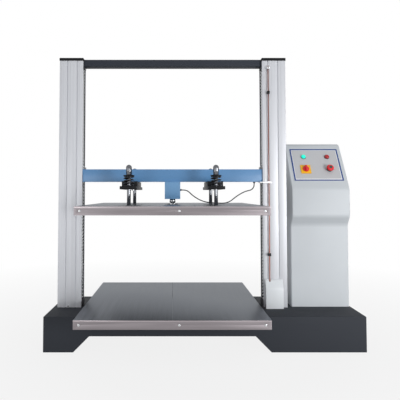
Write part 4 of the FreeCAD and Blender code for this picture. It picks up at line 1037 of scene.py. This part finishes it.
class TESTER_OT_stage(bpy.types.Operator):
    """Set the pale floor, the soft lights and the camera at the photograph's angle"""
    bl_idname = "tester.stage"
    bl_label = "Stage"

    # Each light's place and side in metres and its power in watts
    key = ((2.5, -3.2, 0.65), 1.2, 78)
    fill = ((-2.6, -3.6, 0.65), 1.2, 22)
    # The camera's place, tilt and shift, fitted to the photograph's edges
    place, tilt, shift = (-0.173, -2.8343, 0.8766), 92.32, (0.0658, -0.0616)

    def execute(self, context):
        scene = bpy.context.scene
        scene.view_settings.view_transform = "Standard"
        pick()
        bpy.ops.mesh.primitive_plane_add(size=40, location=(0, 0, -0.5 * MM))
        floor = settle(named("studio_floor"))
        floor.data.materials.append(self.floor_material())
        self.world(scene)
        self.panel_light("key_light", *self.key)
        self.panel_light("fill_light", *self.fill)
        pick()
        bpy.ops.object.camera_add(location=self.place,
                                  rotation=(math.radians(self.tilt), 0, 0))
        camera = bpy.context.object
        camera.data.lens = sizes().camera_lens
        camera.data.sensor_width = 36
        camera.data.shift_x, camera.data.shift_y = self.shift
        scene.camera = camera
        return {"FINISHED"}

    def seen(self, tree):
        """1 for rays that show the background: straight, in metal or through glass."""
        path = add(tree, "ShaderNodeLightPath")
        mirrored = add(tree, "ShaderNodeMath", {"operation": "MAXIMUM"},
                       {0: path.outputs["Is Camera Ray"], 1: path.outputs["Is Glossy Ray"]})
        return add(tree, "ShaderNodeMath", {"operation": "MAXIMUM"},
                   {0: mirrored.outputs["Value"],
                    1: path.outputs["Is Transmission Ray"]}).outputs["Value"]

    def floor_material(self):
        """Pale sweep: shaded under the machine and white to the camera further out."""
        material = bpy.data.materials.new("pale_studio_sweep")
        material.use_nodes = True
        tree = material.node_tree
        shader = tree.nodes["Principled BSDF"]
        shader.inputs["Base Color"].default_value = (*linear("#a0a0a2"), 1)
        shader.inputs["Roughness"].default_value = 0.8
        glow = add(tree, "ShaderNodeEmission", {"Color": (1, 1, 1, 1), "Strength": 1.0})
        mix = add(tree, "ShaderNodeMixShader")
        spot = add(tree, "ShaderNodeTexCoord").outputs["Object"]
        far = add(tree, "ShaderNodeVectorMath", {"operation": "LENGTH"}, {0: spot}).outputs["Value"]
        fade = add(tree, "ShaderNodeMapRange", {"From Min": 0.8, "From Max": 3.5, "To Min": 0.85,
                                                "To Max": 1.0}, {"Value": far})
        share = add(tree, "ShaderNodeMath", {"operation": "MULTIPLY"},
                    {0: self.seen(tree), 1: fade.outputs["Result"]})
        tree.links.new(share.outputs["Value"], mix.inputs["Fac"])
        tree.links.new(shader.outputs["BSDF"], mix.inputs[1])
        tree.links.new(glow.outputs["Emission"], mix.inputs[2])
        tree.links.new(mix.outputs["Shader"], tree.nodes["Material Output"].inputs["Surface"])
        return material

    def world(self, scene):
        world = bpy.data.worlds.new("studio_room")
        scene.world = world
        world.use_nodes = True
        tree = world.node_tree
        room = tree.nodes["Background"]
        way = add(tree, "ShaderNodeTexCoord").outputs["Generated"]
        ahead = add(tree, "ShaderNodeVectorMath", {"operation": "DOT_PRODUCT"}, {0: way})
        ahead.inputs[1].default_value = Vector((0.7, -0.75, -0.12)).normalized()
        level = add(tree, "ShaderNodeMapRange",
                    {"interpolation_type": "SMOOTHSTEP", "From Min": -0.2, "From Max": 0.8,
                     "To Min": 0.38, "To Max": 0.78}, {"Value": ahead.outputs["Value"]})
        tree.links.new(level.outputs["Result"], room.inputs["Strength"])
        room.inputs["Color"].default_value = (*linear("#f4f5f7"), 1)
        white = add(tree, "ShaderNodeBackground", {"Color": (1, 1, 1, 1), "Strength": 1.0})
        mix = add(tree, "ShaderNodeMixShader", None,
                  {"Fac": self.seen(tree), 1: room.outputs["Background"],
                   2: white.outputs["Background"]})
        tree.links.new(mix.outputs["Shader"], tree.nodes["World Output"].inputs["Surface"])

    def panel_light(self, name, place, size, power):
        """A square soft light that faces the middle of the machine."""
        pick()
        bpy.ops.object.light_add(type="AREA", location=place)
        light = bpy.context.object
        light.name = name
        light.data.size = size
        light.data.energy = power
        way = Vector((0, 0, 0.8)) - Vector(place)
        light.rotation_euler = way.to_track_quat("-Z", "Y").to_euler()


PIECES = (TESTER_OT_base, TESTER_OT_columns, TESTER_OT_ball_screws, TESTER_OT_crosshead,
          TESTER_OT_suspension, TESTER_OT_platens, TESTER_OT_limit_gear, TESTER_OT_cable,
          TESTER_OT_console, TESTER_OT_controls, TESTER_OT_hidden_gear, TESTER_OT_stage)


class TESTER_PT_panel(bpy.types.Panel):
    """Lists the tester's pieces, sizes and colours"""
    bl_idname = "TESTER_PT_panel"
    bl_label = "Carton compression tester"
    bl_space_type = "VIEW_3D"
    bl_region_type = "UI"
    bl_category = "Tester"

    def draw(self, context):
        layout = self.layout
        for piece in PIECES:
            layout.operator(piece.bl_idname)
        for group in (context.scene.tester_sizes, context.scene.tester_colours):
            box = layout.box()
            for name in group.__annotations__:
                box.prop(group, name)


CLASSES = (TesterColours, TesterSizes, *PIECES, TESTER_PT_panel)


def register():
    for item in CLASSES:
        bpy.utils.register_class(item)
    bpy.types.Scene.tester_colours = PointerProperty(type=TesterColours)
    bpy.types.Scene.tester_sizes = PointerProperty(type=TesterSizes)


def unregister():
    del bpy.types.Scene.tester_sizes
    del bpy.types.Scene.tester_colours
    for item in reversed(CLASSES):
        bpy.utils.unregister_class(item)


def main():
    register()
    for piece in PIECES:
        group, name = piece.bl_idname.split(".")
        getattr(getattr(bpy.ops, group), name)()


if __name__ == "__main__":
    main()
